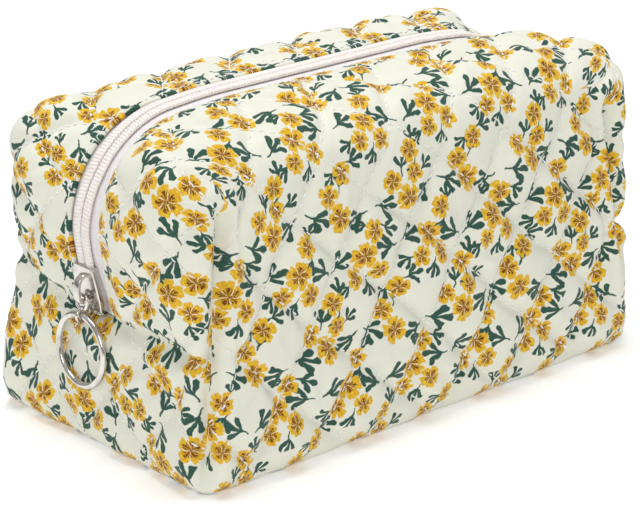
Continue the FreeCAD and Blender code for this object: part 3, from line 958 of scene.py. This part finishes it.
def add_weave(tree, shader, u, v, pitch, depth_mm):
    """Over-and-under threads as bump, with slubs."""
    warp = (u * (math.pi / pitch)).op("SINE")
    weft = (v * (math.pi / pitch)).op("SINE")
    slub = noise(tree, join_vector(u * 0.2, v * 1.6), 1.0, 2.0)
    height = (warp * weft) * 0.5 + 0.5 + Field(tree, slub.outputs["Fac"]) * 0.8
    add_bump(tree, shader, height, depth_mm, 0.35)


def cloth_coordinates(tree):
    """The cloth map of a piece, in millimetres."""
    cloth = tree.nodes.new("ShaderNodeUVMap")
    cloth.uv_map = "cloth"
    u, v, _ = split_vector(tree, cloth.outputs[0])
    return u * CLOTH_UNIT, v * CLOTH_UNIT


def place_in_piece(tree):
    """Where each point is in its own piece, in metres."""
    place = tree.nodes.new("ShaderNodeTexCoord")
    return place.outputs["Object"]


def add_bump(tree, shader, height, depth_mm, strength=0.5):
    """Bump from a height Field."""
    bump = tree.nodes.new("ShaderNodeBump")
    bump.inputs["Strength"].default_value = strength
    bump.inputs["Distance"].default_value = depth_mm * MM
    tree.links.new(height.socket, bump.inputs["Height"])
    tree.links.new(bump.outputs["Normal"], shader.inputs["Normal"])


def varied(name, dark, light, scale, rough_low, rough_high, metallic=0.0, detail=3.0):
    """A material whose colour and roughness drift with a fine noise. Returns its parts too."""
    material = plain(name, light, rough_high, metallic)
    tree = material.node_tree
    shader = tree.nodes["Principled BSDF"]
    cloud = Field(tree, noise(tree, place_in_piece(tree), scale, detail).outputs["Fac"])
    tree.links.new(mix(tree, (cloud * 2.0 - 0.5).clip(), dark, light), shader.inputs["Base Color"])
    rough = cloud * (rough_high - rough_low) + rough_low
    tree.links.new(rough.socket, shader.inputs["Roughness"])
    return material, tree, shader, cloud


def make_lining_material():
    """Fine plain-weave lining, with the soft creases that sewing leaves."""
    material, tree, shader, cloud = varied(
        "lining_cotton", (0.74, 0.72, 0.64), (0.82, 0.80, 0.73), 60.0, 0.8, 0.95
    )
    u, v = cloth_coordinates(tree)
    threads = (u * (math.pi / 0.5)).op("SINE") * (v * (math.pi / 0.5)).op("SINE")
    add_bump(tree, shader, threads * 0.4 + cloud * 2.0, 0.08)
    return material


def make_tape_material():
    """Twill zip tape: slanting ribs, a woven edge and a lavender tint."""
    material, tree, shader, cloud = varied(
        "zip_tape", (0.79, 0.745, 0.755), (0.87, 0.84, 0.85), 400.0, 0.7, 0.9
    )
    u, v = cloth_coordinates(tree)
    rib = ((u + v * 1.2) * (2 * math.pi / 0.75)).op("SINE")
    weft = (v * (2 * math.pi / 0.45)).op("SINE")
    add_bump(tree, shader, rib * 0.35 + weft * 0.25 + cloud * 0.4, 0.09, 0.7)
    return material


def make_coil_material():
    """Moulded nylon coil: smooth and a little translucent looking, cream with a pink tint."""
    material, tree, shader, cloud = varied(
        "zip_coil", (0.86, 0.80, 0.75), (0.93, 0.89, 0.85), 500.0, 0.32, 0.5
    )
    shader.inputs["Subsurface Weight"].default_value = 0.15
    shader.inputs["Subsurface Radius"].default_value = (0.001, 0.0008, 0.0006)
    add_bump(tree, shader, cloud, 0.03)
    return material


def make_thread_material():
    """Twisted sewing thread, whiter than the cotton."""
    material, tree, shader, cloud = varied(
        "thread", (0.80, 0.80, 0.76), (0.95, 0.95, 0.92), 900.0, 0.5, 0.75
    )
    shader.inputs["Sheen Weight"].default_value = 0.2
    add_bump(tree, shader, cloud, 0.06, 0.8)
    return material


def make_binding_material():
    """Ribbed bias tape round the seam allowances."""
    material, tree, shader, cloud = varied(
        "binding", (0.68, 0.66, 0.58), (0.80, 0.78, 0.70), 250.0, 0.75, 0.95
    )
    x, y, z = split_vector(tree, place_in_piece(tree))
    rib = ((x + y + z) * (2 * math.pi / (0.7 * MM))).op("SINE")
    add_bump(tree, shader, rib * 0.3 + cloud, 0.07)
    return material


def make_nickel():
    """Polished nickel plate: a faint warm tint, hairline scratches and slightly duller patches."""
    material, tree, shader, cloud = varied(
        "nickel", (0.50, 0.465, 0.43), (0.78, 0.755, 0.72), 190.0, 0.1, 0.26, 1.0
    )
    scratch = noise(tree, join_vector(cloud * 3.0, cloud * 0.0), 40.0, 4.0, 0.7)
    fine = Field(tree, noise(tree, place_in_piece(tree), 1600.0, 2.0).outputs["Fac"])
    add_bump(tree, shader, fine + Field(tree, scratch.outputs["Fac"]) * 0.3, 0.008, 0.5)
    return material


def make_floor_material():
    """A pale studio sheet, evenly lit from below the paper."""
    material, _, shader, _ = varied(
        "floor", (0.93, 0.93, 0.925), (0.95, 0.95, 0.945), 3.0, 0.85, 0.95
    )
    shader.inputs["Emission Color"].default_value = (1, 1, 1, 1)
    shader.inputs["Emission Strength"].default_value = 0.2
    return material


COTTON = make_cotton()
LINING = make_lining_material()
METAL = make_nickel()
TAPE = make_tape_material()
COIL = make_coil_material()
THREAD = make_thread_material()
BINDING = make_binding_material()
FLOOR = make_floor_material()

# ---- Camera, floor and light

FLOOR_REACH = 6.0  # metres from the middle to each edge
CAMERA_AZIMUTH = math.radians(-41.95)
CAMERA_ELEVATION = math.radians(20.45)
CAMERA_DISTANCE = 772.0
CAMERA_TARGET = np.array([-22.0, -22.2, 51.9])
LENS = 138.1
SENSOR = 36.0


def make_camera():
    """The camera, looking at its target from the front left and a little above."""
    level = math.cos(CAMERA_ELEVATION)
    east = math.sin(CAMERA_AZIMUTH) * level
    south = math.cos(CAMERA_AZIMUTH) * level
    back = np.array([east, -south, math.sin(CAMERA_ELEVATION)])
    data = bpy.data.cameras.new("camera")
    data.lens = LENS
    data.sensor_width = SENSOR
    camera = bpy.data.objects.new("camera", data)
    camera.location = Vector((CAMERA_TARGET + back * CAMERA_DISTANCE) * MM)
    camera.rotation_mode = "QUATERNION"
    camera.rotation_quaternion = Vector(-back).to_track_quat("-Z", "Y")
    bpy.context.scene.collection.objects.link(camera)
    bpy.context.scene.camera = camera


def make_light(name, place, size, power):
    """A soft square light that faces the bag."""
    data = bpy.data.lights.new(name, "AREA")
    data.shape = "RECTANGLE"
    data.size = size
    data.size_y = size
    data.energy = power
    light = bpy.data.objects.new(name, data)
    light.location = place
    light.rotation_mode = "QUATERNION"
    light.rotation_quaternion = (Vector((0, 0, 0.05)) - Vector(place)).to_track_quat("-Z", "Y")
    bpy.context.scene.collection.objects.link(light)


def make_stage():
    """A pale floor, two soft lights and a sky that is lighter above."""
    corners = np.array([[-1, -1, 0], [1, -1, 0], [1, 1, 0], [-1, 1, 0]])
    floor = make_object("floor", corners * FLOOR_REACH / MM, [[0, 1, 2, 3]], FLOOR)
    make_light("overhead", (0.0, 0.12, 1.4), 0.8, 11.5)
    make_light("front_left", (-1.05, -0.95, 0.8), 0.6, 4.7)
    world = bpy.data.worlds.new("world")
    world.use_nodes = True
    tree = world.node_tree
    place = tree.nodes.new("ShaderNodeTexCoord")
    _, _, up = split_vector(tree, place.outputs["Generated"])
    sky = mix(tree, (up * 2.2).clip(), (0.17, 0.166, 0.162), (0.52, 0.52, 0.528))
    tree.links.new(sky, tree.nodes["Background"].inputs["Color"])
    bpy.context.scene.world = world
    bpy.context.scene.view_settings.view_transform = "Standard"


make_camera()
make_stage()

# ---- The quilted halves

PITCH = 2.0
PADDING = 1.9  # how high the padded diamonds stand before they swell
EDGE_ROLL = 0.75  # the rolled edges reach this far into the slot
FOLD_FRONT = SLOT_FRONT
FOLD_REAR = SLOT_REAR - 2.4  # the rear cloth is folded over, right up to the coil
SUBDIVISIONS = 1


def make_quilt():
    """The whole quilted cloth, and its two halves as pieces."""
    outer = Lattice(PITCH, FOLD_FRONT - EDGE_ROLL, FOLD_REAR + EDGE_ROLL)
    points, held = shape(outer, PADDING)
    points = press_under_ring(swell(outer, points, held))
    quilt = sewn_cloth(outer, points, SUBDIVISIONS)
    for side in ("front", "rear"):
        cloth_half = quilt.cut(f"quilted_{side}", side, COTTON)
        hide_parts(f"outer_shell_{side}", f"wadding_{side}")
        bend_with(cloth_half)
        if side == "front":
            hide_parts("outer_shell_base", "wadding_base")
    return quilt


# ---- Quilting stitches, laid along the stitch lines of the finished cloth

STITCH = 3.1  # from one stitch to the next
STITCH_SHOWN = 0.62  # the share of it that lies on the outside
STITCH_STEPS = np.array([0, 0.25, 0.5, 0.75, 1.0])
STITCH_LIFT = np.array([-0.2, 0.14, 0.22, 0.14, -0.2])
STITCH_MISS = 0.6  # a stitch is left out where the cloth ends this much before it does
STITCH_SHORTEST = 0.5
THREAD_SECTION = oval(0.55, 0.42, 6)


def crossings(phase, along, points):
    """Where a line of whole phase cuts each quad: two points and how far along each is."""
    nearest = np.round(phase.mean(axis=1))[:, None]
    side = phase - nearest
    after = np.roll(side, -1, axis=1)
    cut = (side > 0) != (after > 0)
    good = cut.sum(axis=1) == 2
    share = np.where(cut, side / np.where(cut, side - after, 1), 0)
    spots = points + (np.roll(points, -1, axis=1) - points) * share[:, :, None]
    reach = along + (np.roll(along, -1, axis=1) - along) * share
    order = np.argsort(~cut[good], axis=1, kind="stable")[:, :2]
    rows = np.arange(good.sum())[:, None]
    return good, spots[good][rows, order], reach[good][rows, order], nearest[good][:, 0]


def stitch_runs(cloth, keep):
    """Rings of points for every stitch on the kept quads, by half of the bag."""
    runs = {"front": [], "rear": []}
    quads = cloth.quads[keep]
    points = cloth.points[quads]
    normals = unit(cloth.normals[quads].mean(axis=1))
    in_front = cloth.in_front[keep]
    block = cloth.side_code[keep]
    flat = cloth.cloth_map[keep] * CLOTH_UNIT
    for tilt in QUILT_TILTS:
        phase, along = quilt_phase(flat.reshape(-1, 2), tilt)
        good, spots, reach, line = crossings(phase.reshape(-1, 4), along.reshape(-1, 4), points)
        stitch = np.floor(reach.mean(axis=1) / STITCH)
        key = np.column_stack([block[good], line, stitch])
        _, group = np.unique(key, axis=0, return_inverse=True)
        order = np.argsort(group.ravel(), kind="stable")
        starts = np.nonzero(np.diff(group.ravel()[order], prepend=-1))[0]
        for members in np.split(order, starts[1:]):
            where = reach[members].ravel()
            sequence = np.argsort(where)
            where = where[sequence]
            first = stitch[members[0]] * STITCH
            wanted = first + STITCH * STITCH_SHOWN * STITCH_STEPS
            if where[0] > wanted[0] + STITCH_MISS or where[-1] < wanted[-1] - STITCH_MISS:
                continue
            path = spots[members].reshape(-1, 3)[sequence]
            path = np.column_stack([np.interp(wanted, where, path[:, k]) for k in range(3)])
            out = normals[good][members].mean(axis=0)
            path += out * STITCH_LIFT[:, None]
            ahead = path[-1] - path[0]
            if np.linalg.norm(ahead) < STITCH_SHORTEST:
                continue
            half = "front" if in_front[good][members[0]] else "rear"
            runs[half].append(sweep(path, THREAD_SECTION, np.cross(out, ahead)))
    return runs


def make_quilting_stitches(quilt):
    for side, runs in stitch_runs(quilt, quilt.side_code >= 0).items():
        made = tubes(f"quilting_stitches_{side}", runs, THREAD)
        bend_with(made)


# ---- The zip: its run goes up the left end, over the top and down the right end

ZIP_STEPS = 300


def zip_run():
    """The zip's middle line on the straight box."""
    rise = np.linspace(SEAM, HEIGHT, ZIP_STEPS)
    over = np.linspace(-HALF_LENGTH, HALF_LENGTH, ZIP_STEPS * 3)
    x = np.concatenate([np.full(ZIP_STEPS, -HALF_LENGTH), over, np.full(ZIP_STEPS, HALF_LENGTH)])
    z = np.concatenate([rise, np.full(len(over), HEIGHT), rise[::-1]])
    return np.column_stack([x, np.full(len(x), ZIP_Y), z])


ZIP_RUN = zip_run()
ZIP_ARC = arc_table(ZIP_RUN)


def on_zip(arc, y, depth):
    """Points beside the zip's middle: how far along, at which y, and how deep."""
    arc, y, depth = (np.asarray(v, dtype=float) for v in np.broadcast_arrays(arc, y, depth))
    x = np.interp(arc.ravel(), ZIP_ARC, ZIP_RUN[:, 0])
    z = np.interp(arc.ravel(), ZIP_ARC, ZIP_RUN[:, 2])
    p, normal = on_form(np.column_stack([x, y.ravel(), z]))
    return (p - normal * depth.ravel()[:, None]).reshape(*arc.shape, 3)


COIL_DEPTH = 1.45  # middle of the coil, below the bag's surface
COIL_TALL = 1.7
COIL_PITCH = 1.2
COIL_WIRE = 0.7
COIL_INNER = 0.08
COIL_OUTER = 3.75
COIL_START = 1.5
COIL_STEPS = 9  # points to one turn
PART_TOP = 8.0  # the slider's post keeps the coils apart below this
PARTED = 1.6
PARTING_LENGTH = 3.0


def parting(arc):
    """How far each coil is pushed aside by the slider's post."""
    return PARTED * (1 - smooth((arc - PART_TOP + PARTING_LENGTH) / PARTING_LENGTH))


def make_coil(side, sign):
    """One coil: a wire that winds along its tape, with a flattened head at the middle."""
    turns = int((ZIP_ARC[-1] - COIL_START) / COIL_PITCH)
    t = np.arange(turns * COIL_STEPS) / COIL_STEPS
    arc = COIL_START + COIL_PITCH * (t + (0.5 if sign > 0 else 0))
    inside = arc < ZIP_ARC[-1]
    t, arc = t[inside], arc[inside]
    angle = t * 2 * math.pi
    middle = (COIL_INNER + COIL_OUTER) / 2
    half = (COIL_OUTER - COIL_INNER - COIL_WIRE) / 2
    aside = middle + parting(arc) + half * np.sign(np.cos(angle)) * np.abs(np.cos(angle)) ** 0.7
    depth = COIL_DEPTH - (COIL_TALL - COIL_WIRE) / 2 * np.sin(angle)
    path = on_zip(arc, ZIP_Y + sign * aside, depth)
    along_zip = np.gradient(on_zip(arc, ZIP_Y, 1.0), axis=0)
    run = sweep(path, oval(COIL_WIRE * 1.7, COIL_WIRE, 10, 0.75), along_zip)
    made = tubes(f"coil_{side}", [run], COIL)
    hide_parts(f"zip_coil_{side}")
    bend_with(made)


TAPE_DEPTH = 2.45
TAPE_THICK = 0.5
TAPE_INNER = 1.7
TAPE_END = 0.5
TAPE_CORD = 0.22  # the height of the raised cord beside the coil
TAPE_RIPPLE = 0.12


def make_tape(side, edge, sign):
    """One woven tape, with a raised cord beside the coil and its outer edge under the cloth."""
    arc = np.linspace(TAPE_END, ZIP_ARC[-1] - TAPE_END, 260)
    across = np.linspace(TAPE_INNER, abs(edge - ZIP_Y), 15)
    arc_grid, across_grid = np.meshgrid(arc, across, indexing="ij")
    aside = across_grid + parting(arc_grid) * hump(across_grid - TAPE_INNER, 3.0)
    cord = TAPE_CORD * hump(across_grid - COIL_OUTER - 1.1, 0.5)
    ripple = TAPE_RIPPLE * np.sin(arc_grid / 3.7 + 1.3 * np.sin(arc_grid / 17.0))
    ripple *= smooth((across_grid - 4) / 4)
    upper = on_zip(arc_grid, ZIP_Y + sign * aside, TAPE_DEPTH - cord - ripple)
    lower = on_zip(arc_grid, ZIP_Y + sign * aside, TAPE_DEPTH + TAPE_THICK - ripple)
    rings = np.concatenate([upper, lower[:, ::-1]], axis=1)
    made = tubes(f"tape_{side}", [rings if sign > 0 else rings[:, ::-1]], TAPE)
    along_tape = np.concatenate([arc_grid, arc_grid], axis=1).ravel()
    across_tape = np.concatenate([across_grid, across_grid[:, ::-1]], axis=1)
    across_tape = (across_tape if sign > 0 else across_tape[:, ::-1]).ravel()
    corners = read(made.data.loops, "vertex_index", 1, np.int64).ravel()
    set_cloth_map(made, np.column_stack([along_tape[corners], across_tape[corners]]) / CLOTH_UNIT)
    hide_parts(f"zip_tape_{side}")
    flat = ((abs(edge - ZIP_Y) - TAPE_INNER) * MM, (ZIP_ARC[-1] - 2 * TAPE_END) * MM)
    bend_with(made)


TOPSTITCH = 2.9
TOPSTITCH_SHOWN = 0.68
TOPSTITCH_INSET = 1.6
TOPSTITCH_STEPS = np.array([0, 0.2, 0.5, 0.8, 1.0])
TOPSTITCH_DEPTH = np.array([0.75, 0.40, 0.30, 0.40, 0.75])


def make_topstitching(side, edge, sign):
    """The row of stitches that holds the folded cloth to the zip tape."""
    runs = []
    y = edge + sign * TOPSTITCH_INSET
    for start in np.arange(2.0, ZIP_ARC[-1] - 3.0, TOPSTITCH):
        arc = start + TOPSTITCH * TOPSTITCH_SHOWN * TOPSTITCH_STEPS
        path = on_zip(arc, y, TOPSTITCH_DEPTH)
        runs.append(sweep(path, oval(0.42, 0.38, 6), (0.0, 1.0, 0.0)))
    made = tubes(f"topstitching_{side}", runs, THREAD)
    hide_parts(f"zip_stitching_{side}")
    bend_with(made)


def make_zip_half(side, fold, tape_edge, sign):
    make_coil(side, sign)
    make_tape(side, tape_edge, sign)
    make_topstitching(side, fold, sign)


# ---- The slider, built flat in its own frame: out of the face, across, and up the zip

ZIP_FOOT = np.array([-WAIST, ZIP_Y, SEAM])
ZIP_LEAN = math.radians(8.0)
WING_OUTLINE = ((0.8, 6.1), (5.0, 6.5), (16.3, 4.7))  # height and half width
WING_OUT = 1.0
WING_THICK = 1.3
REAR_WING_IN = 4.5
FLANGE_OUT = 0.4
FLANGE_IN = 2.0
FLANGE_THICK = 0.8
POST_LOW = 1.4
POST_HIGH = 7.0
POST_HALF = 1.3
BRIDGE_HIGH = 4.1
BRIDGE_WIDE = 2.6
BRIDGE_BAR = 1.3


def slider_point(out, across, up):
    """From the slider's own frame to the bag's."""
    x = -out * math.cos(ZIP_LEAN) - up * math.sin(ZIP_LEAN)
    z = up * math.cos(ZIP_LEAN) - out * math.sin(ZIP_LEAN)
    return ZIP_FOOT + np.array([x, across, z])


def round_corners(outline, radius, steps=5):
    """A closed outline with its corners rounded. Points are (across, up)."""
    outline = np.asarray(outline, dtype=float)
    previous = np.roll(outline, 1, axis=0)
    following = np.roll(outline, -1, axis=0)
    rounded = []
    for before, corner, after in zip(previous, outline, following):
        a = corner + (before - corner) / np.linalg.norm(before - corner) * radius
        b = corner + (after - corner) / np.linalg.norm(after - corner) * radius
        for t in np.linspace(0, 1, steps):
            rounded.append((1 - t) ** 2 * a + 2 * t * (1 - t) * corner + t**2 * b)
    return np.array(rounded)


def plate(name, outline, out_high, out_low, bevel):
    """A flat metal plate in the slider's frame, with softened edges."""
    count = len(outline)
    vertices = [slider_point(out_high, a, u) for a, u in outline]
    vertices += [slider_point(out_low, a, u) for a, u in outline]
    faces = [list(range(count)), list(range(2 * count - 1, count - 1, -1))]
    for k in range(count):
        j = (k + 1) % count
        faces.append([j, k, count + k, count + j])
    made = make_object(name, vertices, faces, METAL)
    fix_normals(made)
    edge = made.modifiers.new("edge", "BEVEL")
    edge.width = bevel * MM
    edge.segments = 3
    edge.limit_method = "ANGLE"
    edge.angle_limit = math.radians(40)
    edge.harden_normals = True
    return made


def fix_normals(made):
    mesh = bmesh.new()
    mesh.from_mesh(made.data)
    bmesh.ops.recalc_face_normals(mesh, faces=mesh.faces)
    mesh.to_mesh(made.data)
    mesh.free()


def wing_outline():
    right = [(half, up) for up, half in WING_OUTLINE]
    left = [(-half, up) for up, half in WING_OUTLINE[::-1]]
    return round_corners(right + left, 1.3)


def make_slider():
    """Wings, side flanges, diamond post and the arched bridge for the pull."""
    wing = wing_outline()
    inner_face = WING_THICK - REAR_WING_IN
    middle = (POST_LOW + POST_HIGH) / 2
    diamond = np.array([(0, POST_LOW), (POST_HALF, middle), (0, POST_HIGH), (-POST_HALF, middle)])
    parts = [
        plate("slider_outer_wing", wing, WING_OUT, WING_OUT - WING_THICK, 0.42),
        plate("slider_inner_wing", wing, inner_face, -REAR_WING_IN, 0.4),
        plate("slider_post", diamond, 0, 0.5 - REAR_WING_IN, 0.15),
    ]
    for name, sign in (("front", -1), ("rear", 1)):
        inner = [(sign * (half - FLANGE_THICK), up) for up, half in WING_OUTLINE[::-1]]
        outer = [(sign * half, up) for up, half in WING_OUTLINE]
        outline = np.array(outer + inner)
        parts.append(plate(f"slider_flange_{name}", outline, FLANGE_OUT, -FLANGE_IN, 0.25))
    crest = WING_OUT + BRIDGE_HIGH - BRIDGE_BAR / 2
    top = (crest, 0, 7.6)
    arch = bezier_run([(0.4, 0, 4.7), (3.0, 0, 4.75), (crest + 0.25, 0, 5.3), top], 14)[:-1]
    arch += bezier_run([top, (crest - 0.15, 0, 10.6), (3.4, 0, 13.1), (0.4, 0, 13.3)], 14)
    path = np.array([slider_point(*point) for point in arch])
    thicker = 1 + 0.12 * hump(np.linspace(-1, 1, len(path)), 0.5)
    section = oval(BRIDGE_WIDE, BRIDGE_BAR, 20, 0.55)
    rings = sweep(path, section, (0.0, 1.0, 0.0), scale=thicker)
    parts.append(tubes("slider_bridge", [rings], METAL))
    for part in parts:
        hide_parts("slider_body")
        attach(part, "slider")


def bezier_run(points, count):
    a, b, c, d = (np.array(point, dtype=float) for point in points)
    run = []
    for t in np.linspace(0, 1, count):
        run.append((1 - t) ** 3 * a + 3 * (1 - t) ** 2 * t * b + 3 * (1 - t) * t**2 * c + t**3 * d)
    return run


# ---- The pull: a link through the bridge, and its ring

LINK_WIRE = 1.1
LINK_WIDE = 4.8
LINK_HIGH = 4.4
EYE_RADIUS = 1.9
RING_RADIUS = 11.3
RING_WIRE = 2.2


def loop_points(middle, across, up, wide, high, power, count):
    """Points round an oval loop. A power under 1 squares it off."""
    angle = np.linspace(0, 2 * math.pi, count, endpoint=False)
    c, s = np.cos(angle), np.sin(angle)
    c, s = np.sign(c) * np.abs(c) ** power, np.sign(s) * np.abs(s) ** power
    return middle + across * (c * wide / 2)[:, None] + up * (s * high / 2)[:, None]


def make_link():
    """A wire loop through the bridge, a knuckle, and an eye turned a quarter."""
    down = unit(EYE - PIVOT)
    across = np.array([0.0, 1.0, 0.0])
    facing = np.cross(across, down)
    middle = PIVOT + down * LINK_HIGH / 2
    upper = loop_points(middle, across, -down, LINK_WIDE, LINK_HIGH, 0.62, 48)
    lower = loop_points(EYE, facing, -down, EYE_RADIUS * 2, EYE_RADIUS * 2, 1.0, 40)
    neck = PIVOT + down * (LINK_HIGH + 0.05)
    ball = neck + down * np.array([-0.85, -0.6, -0.2, 0.2, 0.55])[:, None]
    thick = [0.45, 0.85, 1.0, 0.9, 0.5]
    loop = sweep(upper, oval(LINK_WIRE, LINK_WIRE, 14), facing, closed=True)
    eye = sweep(lower, oval(LINK_WIRE * 1.1, LINK_WIRE, 14), across, closed=True)
    knuckle = sweep(ball, oval(1.9, 1.7, 16), across, scale=thick)
    for name, rings, closed in (("loop", loop, True), ("eye", eye, True), ("knuckle", knuckle, False)):
        part = tubes(f"link_{name}", [rings], METAL, closed)
        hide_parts("pull_link")
        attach(part, "pull_link")


def make_ring():
    """The round finger ring, of round wire."""
    down = np.array([-math.sin(RING_TILT), 0.0, -math.cos(RING_TILT)])
    across = np.array([0.0, 1.0, 0.0])
    facing = np.cross(across, down)
    width = RING_RADIUS * 2
    line = loop_points(EYE + down * RING_RADIUS, across, -down, width, width, 1.0, 120)
    rings = sweep(line, oval(RING_WIRE, RING_WIRE, 20), facing, closed=True)
    ring = tubes("finger_ring", [rings], METAL, True)
    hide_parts("pull_ring")
    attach(ring, "pull_ring")


# ---- The lining, and the bound seam allowances inside

LINING_IN = 3.3
LINING_PITCH = 3.0
LINING_PADDING = 0.6
LINING_LIP = ((0.3, -0.2), (0.2, -0.5), (-1.5, -0.6))


def make_lining():
    """The inside cloth, which follows the quilting a little."""
    inner = Lattice(LINING_PITCH, LINING_FRONT, LINING_REAR)
    points, _ = shape(inner, LINING_PADDING, -LINING_IN)
    points[:, 2] = np.maximum(points[:, 2], LINING_IN)
    sewn = sewn_cloth(inner, points, 0, LINING_LIP)
    for side in ("front", "rear"):
        made = sewn.cut(f"lining_cloth_{side}", side, LINING)
        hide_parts(f"lining_{side}")
        if side == "front":
            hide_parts("lining_base")
        bend_with(made)


CORNER_BINDING_IN = 5.6  # from the bag's surface to the middle of the binding
CORNER_BINDING_SPAN = (14.0, 84.0)  # its lowest and highest point
CORNER_BINDING_WAVE = 0.35
END_BINDING_IN = 6.6
END_BINDING_HALF = 30.0
END_BINDING_DROP = 1.5
END_BINDING_WAVE = 0.25
BINDING_THICK = 1.3


def binding_run(x, y, z, inset):
    """Points inside the bag's surface, below points of the straight box, and their normals."""
    p, normal = on_form(settle(np.column_stack(np.broadcast_arrays(x, y, z))))
    return p - normal * inset, normal


def make_corner_bindings():
    """Bias tape folded over the seam allowance, standing into the bag at each upright corner."""
    z = np.linspace(*CORNER_BINDING_SPAN, 40)
    for x_name, sign_x in (("left", -1), ("right", 1)):
        for side, sign_y in (("front", -1), ("rear", 1)):
            corner = (sign_x * HALF_LENGTH, sign_y * HALF_DEPTH)
            path, normal = binding_run(*corner, z, CORNER_BINDING_IN)
            wave = CORNER_BINDING_WAVE * np.sin(np.arange(len(path)) * 0.9 + sign_x + sign_y)
            path += np.cross(normal, (0, 0, 1.0)) * wave[:, None]
            rings = sweep(path, oval(6.0, BINDING_THICK, 12, 0.6), normal)
            made = tubes(f"binding_tape_{side}_{x_name}", [rings], BINDING)
            name = f"corner_binding_{side}_{x_name}"
            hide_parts(f"upper_{name}", f"lower_{name}")
            bend_with(made)


def make_end_bindings():
    """Bias tape over the seam allowance across each end."""
    y = np.linspace(-END_BINDING_HALF, END_BINDING_HALF, 50)
    for x_name, sign_x in (("left", -1), ("right", 1)):
        path, normal = binding_run(sign_x * HALF_LENGTH, y, SEAM - END_BINDING_DROP, END_BINDING_IN)
        path[:, 2] += END_BINDING_WAVE * np.sin(y / 2.3)
        rings = sweep(path, oval(5.0, BINDING_THICK, 12, 0.6), normal)
        made = tubes(f"binding_tape_end_{x_name}", [rings], BINDING)
        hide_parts(f"end_seam_binding_{x_name}")
        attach(made, "bag_base")


make_quilting_stitches(make_quilt())
make_zip_half("front", FOLD_FRONT, TAPE_FRONT, -1)
make_zip_half("rear", FOLD_REAR, TAPE_REAR, 1)
make_slider()
make_link()
make_ring()
make_lining()
make_corner_bindings()
make_end_bindings()
